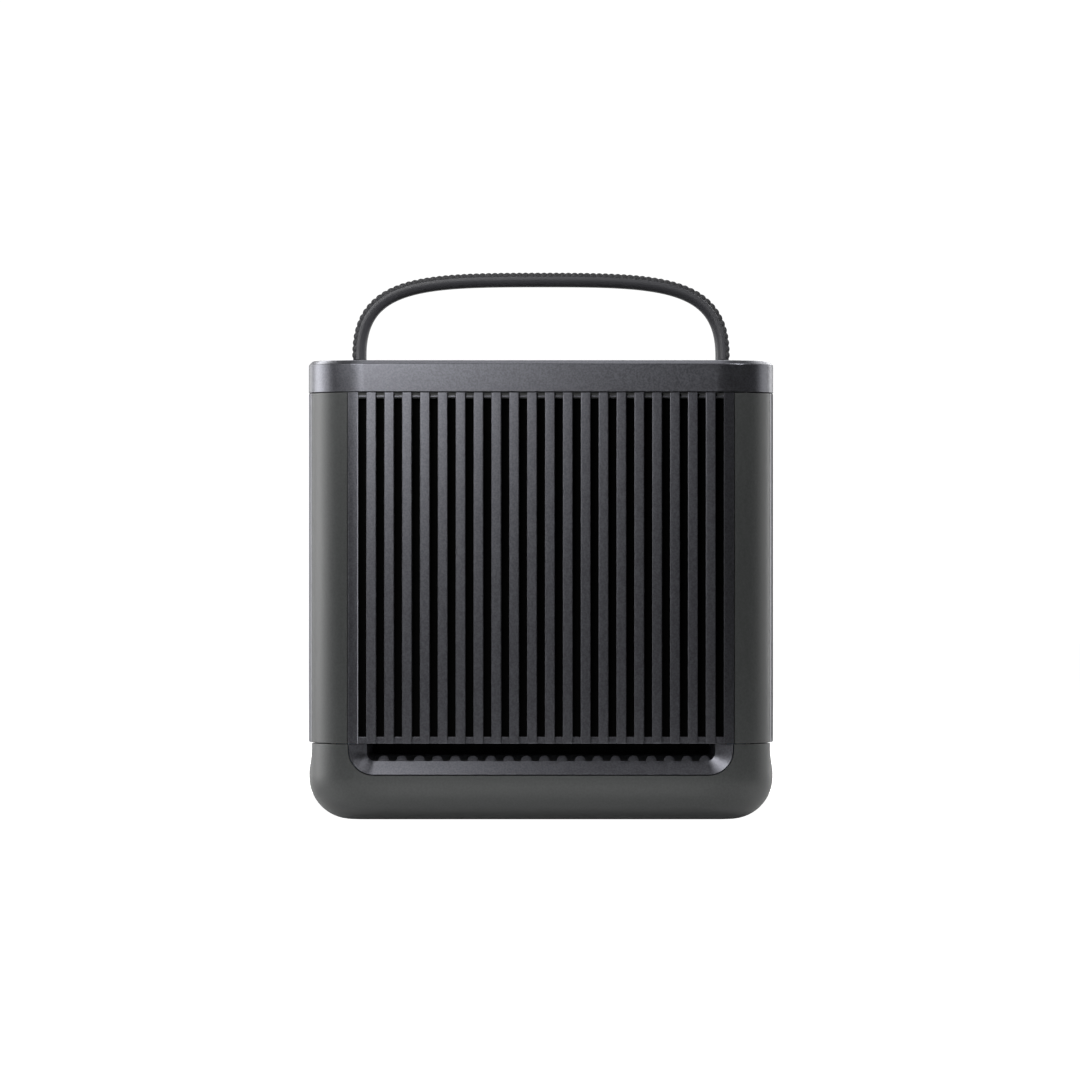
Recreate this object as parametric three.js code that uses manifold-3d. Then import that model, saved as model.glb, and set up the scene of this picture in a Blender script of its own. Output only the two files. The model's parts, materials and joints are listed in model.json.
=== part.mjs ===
// Portable power station: a finned metal-and-plastic case with a folding bail handle,
// fans behind the side grilles, a socket panel at the back and a battery pack inside.
//
// Millimetres, +Z up. The origin is on the ground under the middle of the case.
// -Y is the plain finned front, +Y the control and socket face, +X and -X the fan sides.

import * as THREE from 'three';
import { mergeVertices } from 'three/addons/utils/BufferGeometryUtils.js';
import Module from 'manifold-3d';

const wasm = await Module();
wasm.setup();

// ---- Driving dimensions ------------------------------------------------------------

const WIDTH = 238;
const DEPTH = 176;
const FOOT_PROUD = 0.3;
const BASE_SEAM = 39.5;
const CAP_SEAM = 218.4;
const CAP_TOP = 234.5;
const HANDLE_TOP = 282.6;

const GAP = 0.3;
const HALF_W = WIDTH / 2;
const HALF_D = DEPTH / 2;

// The plastic body stands a little behind the faces of the cap and the grilles.
const BODY_INSET = 0.6;
const BODY_HALF_W = HALF_W - BODY_INSET;
const BODY_HALF_D = HALF_D - BODY_INSET;
const CORNER_R = 29;
const BOTTOM_R = 21.5;
const BASE_WALL = 2.6;
const BASE_FLOOR = 3.2;
const FRAME_WALL = 5.1;

// Grilles: plates let into the body, the same distance from its corners on every side.
const PANEL_MARGIN = 20.8;
const FRONT_HALF = HALF_W - PANEL_MARGIN;
const SIDE_HALF = HALF_D - PANEL_MARGIN;
const PLATE = 3;
const FIN_PITCH = 9.07;
const FIN_WIDTH = 5.02;
const RAIL_MARGIN = 5.3;
const WINDOW_BOTTOM = BASE_SEAM + 6.5;
const WINDOW_TOP = CAP_SEAM - 3.2;

// The scooped intake under each grille.
const LIP_BOTTOM = 23.3;
const LIP_WIDTH = 8.4;
const LIP_DEPTH = 5;
const SCOOP_CORNER_R = 13.2;
const LIP_INSET = 0.4;
const FRONT_DUCT = 11;
const SIDE_DUCT = 4.4;
const DUCT_SLOPE = 0.27;
const SCREEN_CLEAR = 1.2;
const SCREEN_THICK = 1;

// Tray inside the cap, and the handle that folds into it.
const CAP_WALL = 4.5;
const CAP_CHAMFER = 2;
const DECK_BOTTOM = CAP_SEAM + 1.9;
const DECK_TOP = DECK_BOTTOM + 2.5;
const PIVOT_Z = 231.2;
const LEG_X = 94.9;
const HANDLE_HALF_THICK = 3.6;
const HANDLE_WIDTH = 16;
const PAD_THICK = 1.9;

// Control and socket panel.
const REAR_FACE = 84.4;
const REAR_PLATE = 2.4;

// ---- Materials ---------------------------------------------------------------------

const LOOKS = {
  shell_plastic: { color: 0x4a4b49, roughness: 0.62, metalness: 0 },
  satin_metal: { color: 0x6a6b70, roughness: 0.38, metalness: 0.85 },
  black_plastic: { color: 0x1b1c1e, roughness: 0.55, metalness: 0 },
  socket_plastic: { color: 0x26272a, roughness: 0.35, metalness: 0 },
  rubber: { color: 0x202123, roughness: 0.8, metalness: 0 },
  steel: { color: 0x9a9b9e, roughness: 0.35, metalness: 1 },
  aluminium: { color: 0xb4b6ba, roughness: 0.4, metalness: 1 },
  display_glass: { color: 0x101316, roughness: 0.08, metalness: 0 },
  button_plastic: { color: 0x2e3033, roughness: 0.45, metalness: 0 },
  cell_case: { color: 0x2f5f8f, roughness: 0.5, metalness: 0 },
  circuit_board: { color: 0x1e5a36, roughness: 0.5, metalness: 0 },
};

// ---- Solids ------------------------------------------------------------------------

function solid(geometry) {
  const bare = geometry.clone();
  bare.deleteAttribute('normal');
  bare.deleteAttribute('uv');
  const merged = mergeVertices(bare, 1e-4);
  const vertProperties = new Float32Array(merged.attributes.position.array);
  const triVerts = new Uint32Array(merged.index.array);
  return new wasm.Manifold(new wasm.Mesh({ numProp: 3, vertProperties, triVerts }));
}

function toGeometry(manifold) {
  const mesh = manifold.getMesh();
  const geometry = new THREE.BufferGeometry();
  geometry.setAttribute('position', new THREE.BufferAttribute(mesh.vertProperties, 3));
  geometry.setIndex(new THREE.BufferAttribute(mesh.triVerts, 1));
  geometry.computeVertexNormals();
  return geometry;
}

function join(first, ...others) {
  return others.reduce((whole, next) => whole.add(next), first);
}

function cut(body, ...tools) {
  return tools.reduce((whole, tool) => whole.subtract(tool), body);
}

// A box from its low and high corners.
function block(low, high) {
  const size = high.map((value, axis) => value - low[axis]);
  const geometry = new THREE.BoxGeometry(...size);
  const middle = high.map((value, axis) => (value + low[axis]) / 2);
  return solid(geometry.translate(...middle));
}

// A rounded rectangle from its low and high corners in the drawing plane.
function roundedRect(x0, y0, x1, y1, radius) {
  const shape = new THREE.Shape();
  shape.moveTo(x0 + radius, y0);
  shape.lineTo(x1 - radius, y0);
  shape.absarc(x1 - radius, y0 + radius, radius, -Math.PI / 2, 0);
  shape.lineTo(x1, y1 - radius);
  shape.absarc(x1 - radius, y1 - radius, radius, 0, Math.PI / 2);
  shape.lineTo(x0 + radius, y1);
  shape.absarc(x0 + radius, y1 - radius, radius, Math.PI / 2, Math.PI);
  shape.lineTo(x0, y0 + radius);
  shape.absarc(x0 + radius, y0 + radius, radius, Math.PI, 1.5 * Math.PI);
  return shape;
}

function centredRect(halfX, halfY, radius) {
  return roundedRect(-halfX, -halfY, halfX, halfY, radius);
}

// A plan outline raised from z0 to z1.
function upright(shape, z0, z1, segments = 5) {
  const geometry = new THREE.ExtrudeGeometry(shape, {
    depth: z1 - z0,
    bevelEnabled: false,
    curveSegments: segments,
  });
  return solid(geometry.translate(0, 0, z0));
}

// An elevation drawn in x and z, given thickness from y0 to y1.
function slab(shape, y0, y1, segments = 4) {
  const geometry = new THREE.ExtrudeGeometry(shape, {
    depth: y1 - y0,
    bevelEnabled: false,
    curveSegments: segments,
  });
  geometry.rotateX(Math.PI / 2);
  return solid(geometry.translate(0, y1, 0));
}

// A plan outline whose lower and upper edges are rounded or chamfered.
function pillow(halfX, halfY, radius, z0, z1, edge, edgeSteps) {
  const geometry = new THREE.ExtrudeGeometry(centredRect(halfX - edge, halfY - edge, radius - edge), {
    depth: z1 - z0 - 2 * edge,
    bevelThickness: edge,
    bevelSize: edge,
    bevelSegments: edgeSteps,
    curveSegments: 5,
  });
  return solid(geometry.translate(0, 0, z0 + edge));
}

// A turned piece with its axis along Y; the profile is [radius, y] pairs.
function turned(profile, x, z, segments = 16) {
  const points = profile.map(([radius, y]) => new THREE.Vector2(radius, y));
  const geometry = new THREE.LatheGeometry(points, segments);
  return solid(geometry.translate(x, 0, z));
}

function rod(radius, y0, y1, x, z, segments = 16) {
  return turned([[0, y0], [radius, y0], [radius, y1], [0, y1]], x, z, segments);
}

// The same rod lying along X or standing along Z.
function rodX(radius, x0, x1, y, z, segments = 16) {
  const geometry = new THREE.CylinderGeometry(radius, radius, x1 - x0, segments);
  geometry.rotateZ(Math.PI / 2);
  return solid(geometry.translate((x0 + x1) / 2, y, z));
}

function rodZ(radius, z0, z1, x, y, segments = 12) {
  const geometry = new THREE.CylinderGeometry(radius, radius, z1 - z0, segments);
  geometry.rotateX(Math.PI / 2);
  return solid(geometry.translate(x, y, (z0 + z1) / 2));
}

function turnAboutZ(manifold, degrees) {
  return manifold.rotate([0, 0, degrees]);
}

// ---- The assembly ------------------------------------------------------------------

const station = new THREE.Group();
station.name = 'power_station';

function add(name, manifold, look) {
  const mesh = new THREE.Mesh(toGeometry(manifold), new THREE.MeshStandardMaterial(LOOKS[look]));
  mesh.name = name;
  station.add(mesh);
}

// ---- Case --------------------------------------------------------------------------

const FOOT_X = 70;
const FOOT_Y = 44;
const FOOT_R = 10;
const FOOT_POCKET = 1.2;
const BASE_SCREW_X = 90;
const BASE_SCREW_Y = 56;
const SCREW_HEAD_R = 3.2;
const SCREW_SHANK_R = 1.5;
const SCREW_POCKET = 2;

const QUADRANTS = [
  ['front_left', -1, -1],
  ['front_right', 1, -1],
  ['rear_left', -1, 1],
  ['rear_right', 1, 1],
];

// The outline of a grille with its rounded lower corners, grown by a clearance.
function bibOutline(half, top, grow = 0) {
  const edge = half + grow;
  const bottom = LIP_BOTTOM - grow;
  const radius = SCOOP_CORNER_R + grow;
  const shape = new THREE.Shape();
  shape.moveTo(edge, top);
  shape.lineTo(-edge, top);
  shape.lineTo(-edge, bottom + radius);
  shape.absarc(-edge + radius, bottom + radius, radius, Math.PI, 1.5 * Math.PI);
  shape.lineTo(edge - radius, bottom);
  shape.absarc(edge - radius, bottom + radius, radius, -Math.PI / 2, 0);
  shape.lineTo(edge, top);
  return shape;
}

// The outer form of the case, with its rounded lower edge; its top lies above the base.
function caseForm(halfX, halfY) {
  return pillow(halfX, halfY, CORNER_R, FOOT_PROUD, BASE_SEAM + 2 * BOTTOM_R, BOTTOM_R, 4);
}

function baseShell() {
  const tall = BASE_SEAM + 2 * BOTTOM_R;
  const outer = caseForm(BODY_HALF_W, BODY_HALF_D);
  const inner = pillow(
    BODY_HALF_W - BASE_WALL,
    BODY_HALF_D - BASE_WALL,
    CORNER_R - BASE_WALL,
    FOOT_PROUD + BASE_FLOOR,
    tall + BASE_FLOOR,
    BOTTOM_R - BASE_WALL,
    4,
  );
  const above = block([-WIDTH, -WIDTH, BASE_SEAM - GAP / 2], [WIDTH, WIDTH, WIDTH]);
  const mouthDepth = 30;
  const frontMouth = slab(bibOutline(FRONT_HALF, CAP_SEAM, GAP), -HALF_D - 1, -HALF_D + mouthDepth);
  const sideMouth = slab(bibOutline(SIDE_HALF, CAP_SEAM, GAP), -HALF_W - 1, -HALF_W + mouthDepth);
  const mouths = [frontMouth, turnAboutZ(sideMouth, 90), turnAboutZ(sideMouth, -90)];
  let shell = cut(outer, inner, above, ...mouths);
  for (const [, sx, sy] of QUADRANTS) {
    const footX = sx * FOOT_X;
    const footY = sy * FOOT_Y;
    const screwX = sx * BASE_SCREW_X;
    const screwY = sy * BASE_SCREW_Y;
    const pocketTop = FOOT_PROUD + SCREW_POCKET;
    shell = cut(
      shell,
      rodZ(FOOT_R + GAP, -1, FOOT_PROUD + FOOT_POCKET, footX, footY),
      rodZ(SCREW_HEAD_R + GAP, -1, pocketTop, screwX, screwY),
      rodZ(SCREW_SHANK_R + GAP, -1, pocketTop + BASE_FLOOR, screwX, screwY),
    );
  }
  return shell;
}

function foot(sx, sy) {
  return rodZ(FOOT_R, 0, FOOT_PROUD + FOOT_POCKET - GAP, sx * FOOT_X, sy * FOOT_Y);
}

function baseScrew(sx, sy) {
  const x = sx * BASE_SCREW_X;
  const y = sy * BASE_SCREW_Y;
  const headTop = FOOT_PROUD + SCREW_POCKET - GAP;
  const head = rodZ(SCREW_HEAD_R, FOOT_PROUD + 0.2, headTop, x, y);
  return join(head, rodZ(SCREW_SHANK_R, headTop - 0.2, headTop + 7, x, y, 8));
}

// Four corner columns joined by a flange over each grille's window, which is open below.
function midFrame() {
  const z0 = BASE_SEAM + GAP / 2;
  const z1 = CAP_SEAM - GAP;
  const outer = upright(centredRect(BODY_HALF_W, BODY_HALF_D, CORNER_R), z0, z1);
  const inner = upright(
    centredRect(BODY_HALF_W - FRAME_WALL, BODY_HALF_D - FRAME_WALL, CORNER_R - FRAME_WALL),
    z0 - 1,
    z1 + 1,
  );
  let frame = cut(outer, inner);
  const seat = PLATE + GAP;
  const open = z0 - 1;
  const faces = [
    [FRONT_HALF, HALF_D, 0, open],
    [FRONT_HALF, HALF_D, 180, WINDOW_BOTTOM],
    [SIDE_HALF, HALF_W, 90, open],
    [SIDE_HALF, HALF_W, -90, open],
  ];
  for (const [half, distance, turn, windowBottom] of faces) {
    const edge = half + GAP;
    const recess = block([-edge, -distance - 1, z0 - 1], [edge, -distance + seat, z1 + 1]);
    const windowHalf = half - RAIL_MARGIN + GAP;
    const low = [-windowHalf, -distance - 1, windowBottom];
    const high = [windowHalf, -distance + 14, WINDOW_TOP];
    const window = block(low, high);
    frame = cut(frame, turnAboutZ(recess, turn), turnAboutZ(window, turn));
  }
  return frame;
}

// Metal ring with a chamfered top edge and a ledge inside for the deck.
function topCap() {
  const outer = pillow(HALF_W, HALF_D, CORNER_R + BODY_INSET, CAP_SEAM - 10, CAP_TOP, CAP_CHAMFER, 1);
  const below = block([-WIDTH, -WIDTH, 0], [WIDTH, WIDTH, CAP_SEAM]);
  const tray = upright(
    centredRect(HALF_W - CAP_WALL, HALF_D - CAP_WALL, CORNER_R - CAP_WALL),
    DECK_BOTTOM - GAP,
    CAP_TOP + 1,
  );
  const ledge = 4;
  const opening = upright(
    centredRect(HALF_W - CAP_WALL - ledge, HALF_D - CAP_WALL - ledge, CORNER_R - CAP_WALL - ledge),
    CAP_SEAM - 1,
    CAP_TOP,
  );
  return cut(outer, below, tray, opening);
}

// ---- Grilles -----------------------------------------------------------------------

const FIN_BOTTOM = BASE_SEAM + 0.2;
const PLATE_TOP = CAP_SEAM - GAP;
const LOWER_RAIL_TOP = BASE_SEAM + 3.5;
const UPPER_RAIL_BOTTOM = CAP_SEAM - 3.5;
const LOWER_RAIL_SETBACK = 0.8;
const UPPER_RAIL_SETBACK = 2;

// A plate of rails and fins over the lip of the intake, which lies flush with the case.
// alongHalf is half the length of the case along this face.
function grille(half, distance, alongHalf, finCount, ductDepth) {
  const front = -distance;
  const back = front + PLATE;
  const bibTop = BASE_SEAM - GAP / 2;
  const bibBack = front + LIP_DEPTH + ductDepth;
  const above = [WIDTH, WIDTH, WIDTH];
  const flush = caseForm(alongHalf, distance - BODY_INSET);
  const outline = bibOutline(half, CAP_SEAM, -LIP_INSET);
  const bib = cut(slab(outline, front, bibBack), block([-WIDTH, -WIDTH, bibTop], above));
  const apron = cut(slab(outline, front, back), block([-WIDTH, -WIDTH, FIN_BOTTOM + 0.1], above));
  const lip = join(bib, apron).intersect(flush);
  const plate = block([-half, front, FIN_BOTTOM], [half, back, PLATE_TOP]);
  const finField = half - RAIL_MARGIN;
  const slots = block([-finField, front - 1, LOWER_RAIL_TOP], [finField, back + 1, UPPER_RAIL_BOTTOM]);
  const lowerStep = block(
    [-finField, front - 1, FIN_BOTTOM],
    [finField, front + LOWER_RAIL_SETBACK, LOWER_RAIL_TOP + 1],
  );
  const upperStep = block(
    [-finField, front - 1, UPPER_RAIL_BOTTOM - 1],
    [finField, front + UPPER_RAIL_SETBACK, CAP_TOP],
  );
  const scoop = scoopHollow(half, front, ductDepth);
  let body = cut(join(plate, lip), slots, upperStep, lowerStep, scoop);
  for (let index = 0; index < finCount; index += 1) {
    const x = (index - (finCount - 1) / 2) * FIN_PITCH;
    const low = [x - FIN_WIDTH / 2, front, FIN_BOTTOM];
    const high = [x + FIN_WIDTH / 2, back, PLATE_TOP];
    body = join(body, block(low, high));
  }
  return body;
}

// The intake hollow: a mouth that narrows along the sloped lip, then a duct that rises.
function scoopHollow(half, front, ductDepth) {
  const innerHalf = half - LIP_WIDTH;
  const innerBottom = LIP_BOTTOM + LIP_WIDTH;
  const innerR = SCOOP_CORNER_R - LIP_WIDTH;
  const rise = ductDepth * DUCT_SLOPE;
  const mouth = funnel(innerHalf, innerBottom, innerR, LIP_WIDTH, front - 0.02, front + LIP_DEPTH);
  const duct = funnel(
    innerHalf - rise,
    innerBottom + rise,
    innerR - rise,
    rise,
    front + LIP_DEPTH - 0.02,
    front + LIP_DEPTH + ductDepth + 0.5,
  );
  return join(mouth, duct);
}

// A hollow with an open top whose outline shrinks from the front plane to the back one.
function funnel(half, bottom, radius, shrink, y0, y1) {
  const shape = roundedRect(-half, bottom, half, FIN_BOTTOM + SCOOP_CORNER_R, radius);
  const depth = y1 - y0;
  const geometry = new THREE.ExtrudeGeometry(shape, {
    depth: 0.2,
    bevelThickness: depth,
    bevelSize: shrink,
    bevelSegments: 1,
    curveSegments: 6,
  });
  geometry.rotateX(Math.PI / 2);
  const flared = solid(geometry.translate(0, y0, 0));
  const behindFront = block([-WIDTH, y0, 0], [WIDTH, y1, FIN_BOTTOM]);
  return flared.intersect(behindFront);
}

// Fine screen that backs a grille's window, then steps back and down behind its intake.
function dustScreen(half, distance, ductDepth) {
  const front = -distance + BODY_INSET + FRAME_WALL + SCREEN_CLEAR;
  const lowerFront = -distance + LIP_DEPTH + ductDepth + GAP;
  const edge = half - RAIL_MARGIN + 2;
  const stepZ = BASE_SEAM + 3.2;
  return join(
    block([-edge, front, stepZ], [edge, front + SCREEN_THICK, WINDOW_TOP + 2]),
    block([-edge, front, stepZ], [edge, lowerFront + SCREEN_THICK, stepZ + SCREEN_THICK]),
    block([-edge, lowerFront, LIP_BOTTOM + 4], [edge, lowerFront + SCREEN_THICK, stepZ + SCREEN_THICK]),
  );
}

// ---- Handle ------------------------------------------------------------------------

// Centre line of the bail, from one foot of the arch to the other.
function handlePath(startZ) {
  const shoulderZ = PIVOT_Z + 8.4;
  const crownZ = HANDLE_TOP - HANDLE_HALF_THICK;
  const path = new THREE.CurvePath();
  const side = (sign) => [
    new THREE.Vector3(sign * LEG_X, 0, shoulderZ),
    new THREE.Vector3(sign * LEG_X, 0, crownZ - 0.7),
    new THREE.Vector3(sign * 0.65 * LEG_X, 0, crownZ),
    new THREE.Vector3(0, 0, crownZ),
  ];
  path.add(new THREE.LineCurve3(new THREE.Vector3(-LEG_X, 0, startZ), side(-1)[0]));
  path.add(new THREE.CubicBezierCurve3(...side(-1)));
  path.add(new THREE.CubicBezierCurve3(...side(1).reverse()));
  path.add(new THREE.LineCurve3(side(1)[0], new THREE.Vector3(LEG_X, 0, startZ)));
  return path;
}

// A strip that follows the bail between two distances outward from its centre line.
function handleStrip(inner, outer, halfWidth, radius, startZ) {
  const section = roundedRect(-halfWidth, -outer, halfWidth, -inner, radius);
  const geometry = new THREE.ExtrudeGeometry(section, {
    steps: 30,
    extrudePath: handlePath(startZ),
    curveSegments: 1,
  });
  return solid(geometry);
}

const BOSS_R = 5.6;
const BOSS_HALF = HANDLE_HALF_THICK - 0.4;
const ARCH_START = 6.1;
const PIN_R = 2.2;

function handleArch() {
  const outer = HANDLE_HALF_THICK - PAD_THICK - GAP;
  let arch = handleStrip(-HANDLE_HALF_THICK, outer, HANDLE_WIDTH / 2, 2, PIVOT_Z + ARCH_START);
  for (const sx of [-1, 1]) {
    const x0 = sx * LEG_X - BOSS_HALF;
    const x1 = sx * LEG_X + BOSS_HALF;
    const neckXs = [sx * (LEG_X + outer - 0.1), sx * (LEG_X - BOSS_HALF)].sort((a, b) => a - b);
    const boss = rodX(BOSS_R, x0, x1, 0, PIVOT_Z);
    const neckTop = PIVOT_Z + ARCH_START + 0.6;
    const neck = block([neckXs[0], -BOSS_R, PIVOT_Z], [neckXs[1], BOSS_R, neckTop]);
    arch = join(arch, boss, neck);
    arch = cut(arch, rodX(PIN_R + GAP, x0 - 1, x1 + 1, 0, PIVOT_Z));
  }
  return arch;
}

function handleGripPad() {
  const halfWidth = HANDLE_WIDTH / 2 - 1;
  const inner = HANDLE_HALF_THICK - PAD_THICK;
  const start = PIVOT_Z + ARCH_START + 0.1;
  return handleStrip(inner, HANDLE_HALF_THICK, halfWidth, 0.7, start);
}

const LUG_CLEAR = 0.8;
const LUG_NEAR = BOSS_HALF + LUG_CLEAR;
const LUG_FAR = LUG_NEAR + 4;
const FLANGE_LENGTH = 9;
const FLANGE_THICK = 2;
const STRIP_THICK = 0.8;
const LUG_HALF = 5.6;

// Clevis: two lugs with outward flanges, joined by a thin strip under the boss.
function handleBracket(sx) {
  const z0 = DECK_TOP + GAP;
  const near = LUG_NEAR;
  const far = LUG_FAR;
  const x = sx * LEG_X;
  let bracket = block([x - far, -LUG_HALF, z0], [x + far, LUG_HALF, z0 + STRIP_THICK]);
  for (const side of [-1, 1]) {
    const xs = [x + side * near, x + side * far].sort((a, b) => a - b);
    const flangeXs = [x + side * near, x + side * (far + FLANGE_LENGTH)].sort((a, b) => a - b);
    const lug = block([xs[0], -LUG_HALF, z0], [xs[1], LUG_HALF, PIVOT_Z]);
    const crown = rodX(LUG_HALF - 1, xs[0], xs[1], 0, PIVOT_Z);
    const shoulder = block([xs[0], -LUG_HALF, PIVOT_Z - 1], [xs[1], LUG_HALF, PIVOT_Z + 0.01]);
    const flange = block([flangeXs[0], -LUG_HALF, z0], [flangeXs[1], LUG_HALF, z0 + FLANGE_THICK]);
    bracket = join(bracket, lug, shoulder, crown, flange);
    bracket = cut(bracket, rodZ(SCREW_SHANK_R + GAP, z0 - 1, z0 + 5, screwXOf(sx, side), 0, 8));
  }
  return cut(bracket, rodX(PIN_R + GAP, x - far - 1, x + far + 1, 0, PIVOT_Z));
}

function screwXOf(sx, side) {
  return sx * LEG_X + side * (LUG_FAR + FLANGE_LENGTH / 2 + 0.4);
}

function bracketScrew(sx, side) {
  const x = screwXOf(sx, side);
  const seat = DECK_TOP + GAP + FLANGE_THICK + GAP;
  return join(
    rodZ(SCREW_HEAD_R, seat, seat + 1.8, x, 0),
    rodZ(SCREW_SHANK_R, DECK_BOTTOM - 4, seat + 0.5, x, 0, 12),
  );
}

function handlePin(sx) {
  const far = LUG_FAR + GAP;
  const head = 1;
  const x = sx * LEG_X;
  return join(
    rodX(PIN_R, x - far - head, x + far + head, 0, PIVOT_Z, 16),
    rodX(PIN_R + 1.2, x - far - head, x - far, 0, PIVOT_Z, 16),
    rodX(PIN_R + 1.2, x + far, x + far + head, 0, PIVOT_Z, 16),
  );
}

function topDeck() {
  const inset = CAP_WALL + GAP;
  const outline = centredRect(HALF_W - inset, HALF_D - inset, CORNER_R - inset);
  let deck = upright(outline, DECK_BOTTOM, DECK_TOP);
  for (const sx of [-1, 1]) {
    for (const side of [-1, 1]) {
      const hole = rodZ(SCREW_SHANK_R + GAP, DECK_BOTTOM - 1, DECK_TOP + 1, screwXOf(sx, side), 0, 8);
      deck = cut(deck, hole);
    }
  }
  return deck;
}

// ---- Control and socket panel --------------------------------------------------------

const PANEL_BACK = REAR_FACE - REAR_PLATE;
const FLANGE_FRONT = REAR_FACE + GAP;
const DISPLAY = { x: 0, z: 186, halfX: 32, halfZ: 18 };
const BUTTONS = {
  power_button: { x: -62, z: 186, radius: 8 },
  dc_button: { x: 18, z: 92, radius: 6 },
  ac_button: { x: -52, z: 66, radius: 6 },
};
const BUTTON_TRAVEL = 1.2;
const OUTLETS = { ac_outlet_upper: { x: -52, z: 137 }, ac_outlet_lower: { x: -52, z: 96 } };
const OUTLET_HALF_X = 18;
const OUTLET_HALF_Z = 15;
const PORTS = { x: 18, z: 130, halfX: 19, halfZ: 19 };
const CAR_SOCKET = { x: 66, z: 136, radius: 12.6, bore: 10.6, depth: 38 };
const INLET = { x: 66, z: 90, halfX: 12, halfZ: 8 };
const FLANGE_RIM = 2.4;

function ovalOf(item, grow, radius) {
  return roundedRect(
    item.x - item.halfX - grow,
    item.z - item.halfZ - grow,
    item.x + item.halfX + grow,
    item.z + item.halfZ + grow,
    radius,
  );
}

function rearPanel() {
  const half = FRONT_HALF;
  const seat = HALF_D - PLATE;
  const rimFront = BODY_HALF_D;
  const wall = REAR_PLATE;
  const windowHalf = half - RAIL_MARGIN;
  const low = WINDOW_BOTTOM + GAP;
  const high = WINDOW_TOP - GAP;
  const border = block([-half, seat, FIN_BOTTOM], [half, rimFront, PLATE_TOP]);
  const dish = block([-windowHalf, PANEL_BACK, low], [windowHalf, rimFront, high]);
  const hollow = slab(
    roundedRect(-windowHalf + wall, low + wall, windowHalf - wall, high - wall, 6),
    REAR_FACE,
    HALF_D + 1,
  );
  let panel = cut(join(border, dish), hollow);
  const through = [PANEL_BACK - 1, REAR_FACE + 1];
  for (const button of Object.values(BUTTONS)) {
    panel = cut(panel, rod(button.radius + GAP, ...through, button.x, button.z));
  }
  for (const outlet of Object.values(OUTLETS)) {
    const face = { ...outlet, halfX: OUTLET_HALF_X, halfZ: OUTLET_HALF_Z };
    panel = cut(panel, slab(ovalOf(face, GAP, 4), ...through, 4));
  }
  return cut(
    panel,
    slab(ovalOf(DISPLAY, -2, 2), ...through, 3),
    slab(ovalOf(PORTS, GAP, 3), ...through, 4),
    rod(CAR_SOCKET.radius + GAP, ...through, CAR_SOCKET.x, CAR_SOCKET.z),
    slab(ovalOf(INLET, GAP, 3), ...through, 4),
  );
}

function displayWindow() {
  return slab(ovalOf(DISPLAY, 0, 3), FLANGE_FRONT, FLANGE_FRONT + 1.2, 4);
}

function displayModule() {
  const back = PANEL_BACK - GAP;
  return slab(ovalOf(DISPLAY, 1, 1), back - 6, back, 2);
}

// A button with a flange behind the panel, standing proud by its travel and a little more.
function button({ x, z, radius }) {
  const front = REAR_FACE + BUTTON_TRAVEL + 0.5;
  const edge = 0.5;
  const flangeFront = PANEL_BACK - GAP;
  return turned(
    [
      [0, flangeFront - 1.6],
      [radius + 1.5, flangeFront - 1.6],
      [radius + 1.5, flangeFront],
      [radius, flangeFront],
      [radius, front - edge],
      [radius - edge, front],
      [0, front],
    ],
    x,
    z,
  );
}

// Two blade slots and a round earth hole in a flanged insert.
function acOutlet({ x, z }) {
  const face = { x, z, halfX: OUTLET_HALF_X, halfZ: OUTLET_HALF_Z };
  const flangeTop = FLANGE_FRONT + 1.4;
  const flange = slab(ovalOf(face, FLANGE_RIM, 5), FLANGE_FRONT, flangeTop, 4);
  const depth = 22;
  const body = slab(ovalOf(face, 0, 4), flangeTop - depth, flangeTop, 4);
  const contactDepth = 16;
  const bladeX = 6.4;
  const bladeHalf = [1, 4];
  const slot = (sign) => block(
    [x + sign * bladeX - bladeHalf[0], flangeTop - contactDepth, z + 2 - bladeHalf[1]],
    [x + sign * bladeX + bladeHalf[0], flangeTop + 1, z + 2 + bladeHalf[1]],
  );
  const earth = rod(2.6, flangeTop - contactDepth, flangeTop + 1, x, z - 8, 16);
  return cut(join(flange, body), slot(-1), slot(1), earth);
}

// Two wide ports over two small ones, and two round low-voltage jacks below them.
function portBlock() {
  const flangeTop = FLANGE_FRONT + 1;
  const flange = slab(ovalOf(PORTS, FLANGE_RIM, 4), FLANGE_FRONT, flangeTop, 4);
  let body = join(flange, slab(ovalOf(PORTS, 0, 3), flangeTop - 16, flangeTop, 4));
  for (const side of [-1, 1]) {
    const x = PORTS.x + side * 9.5;
    const wide = { x, z: PORTS.z + 11.5, halfX: 6.6, halfZ: 2.8 };
    const small = { x, z: PORTS.z + 1, halfX: 4.6, halfZ: 1.7 };
    const jackZ = PORTS.z - 10;
    body = cut(body, rod(3.4, flangeTop - 11, flangeTop + 1, x, jackZ));
    body = join(body, rod(1, flangeTop - 12, flangeTop - 2, x, jackZ, 8));
    body = cut(body, slab(ovalOf(wide, 0, 0.6), flangeTop - 12, flangeTop + 1, 1));
    body = cut(body, slab(ovalOf(small, 0, 1.6), flangeTop - 8, flangeTop + 1, 3));
    const wideTongue = { ...wide, z: wide.z + 0.9, halfX: 5.6, halfZ: 0.9 };
    const smallTongue = { ...small, halfX: 3.3, halfZ: 0.4 };
    body = join(body, slab(ovalOf(wideTongue, 0, 0.3), flangeTop - 13, flangeTop - 2, 1));
    body = join(body, slab(ovalOf(smallTongue, 0, 0.2), flangeTop - 9, flangeTop - 2, 1));
  }
  return body;
}

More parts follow.
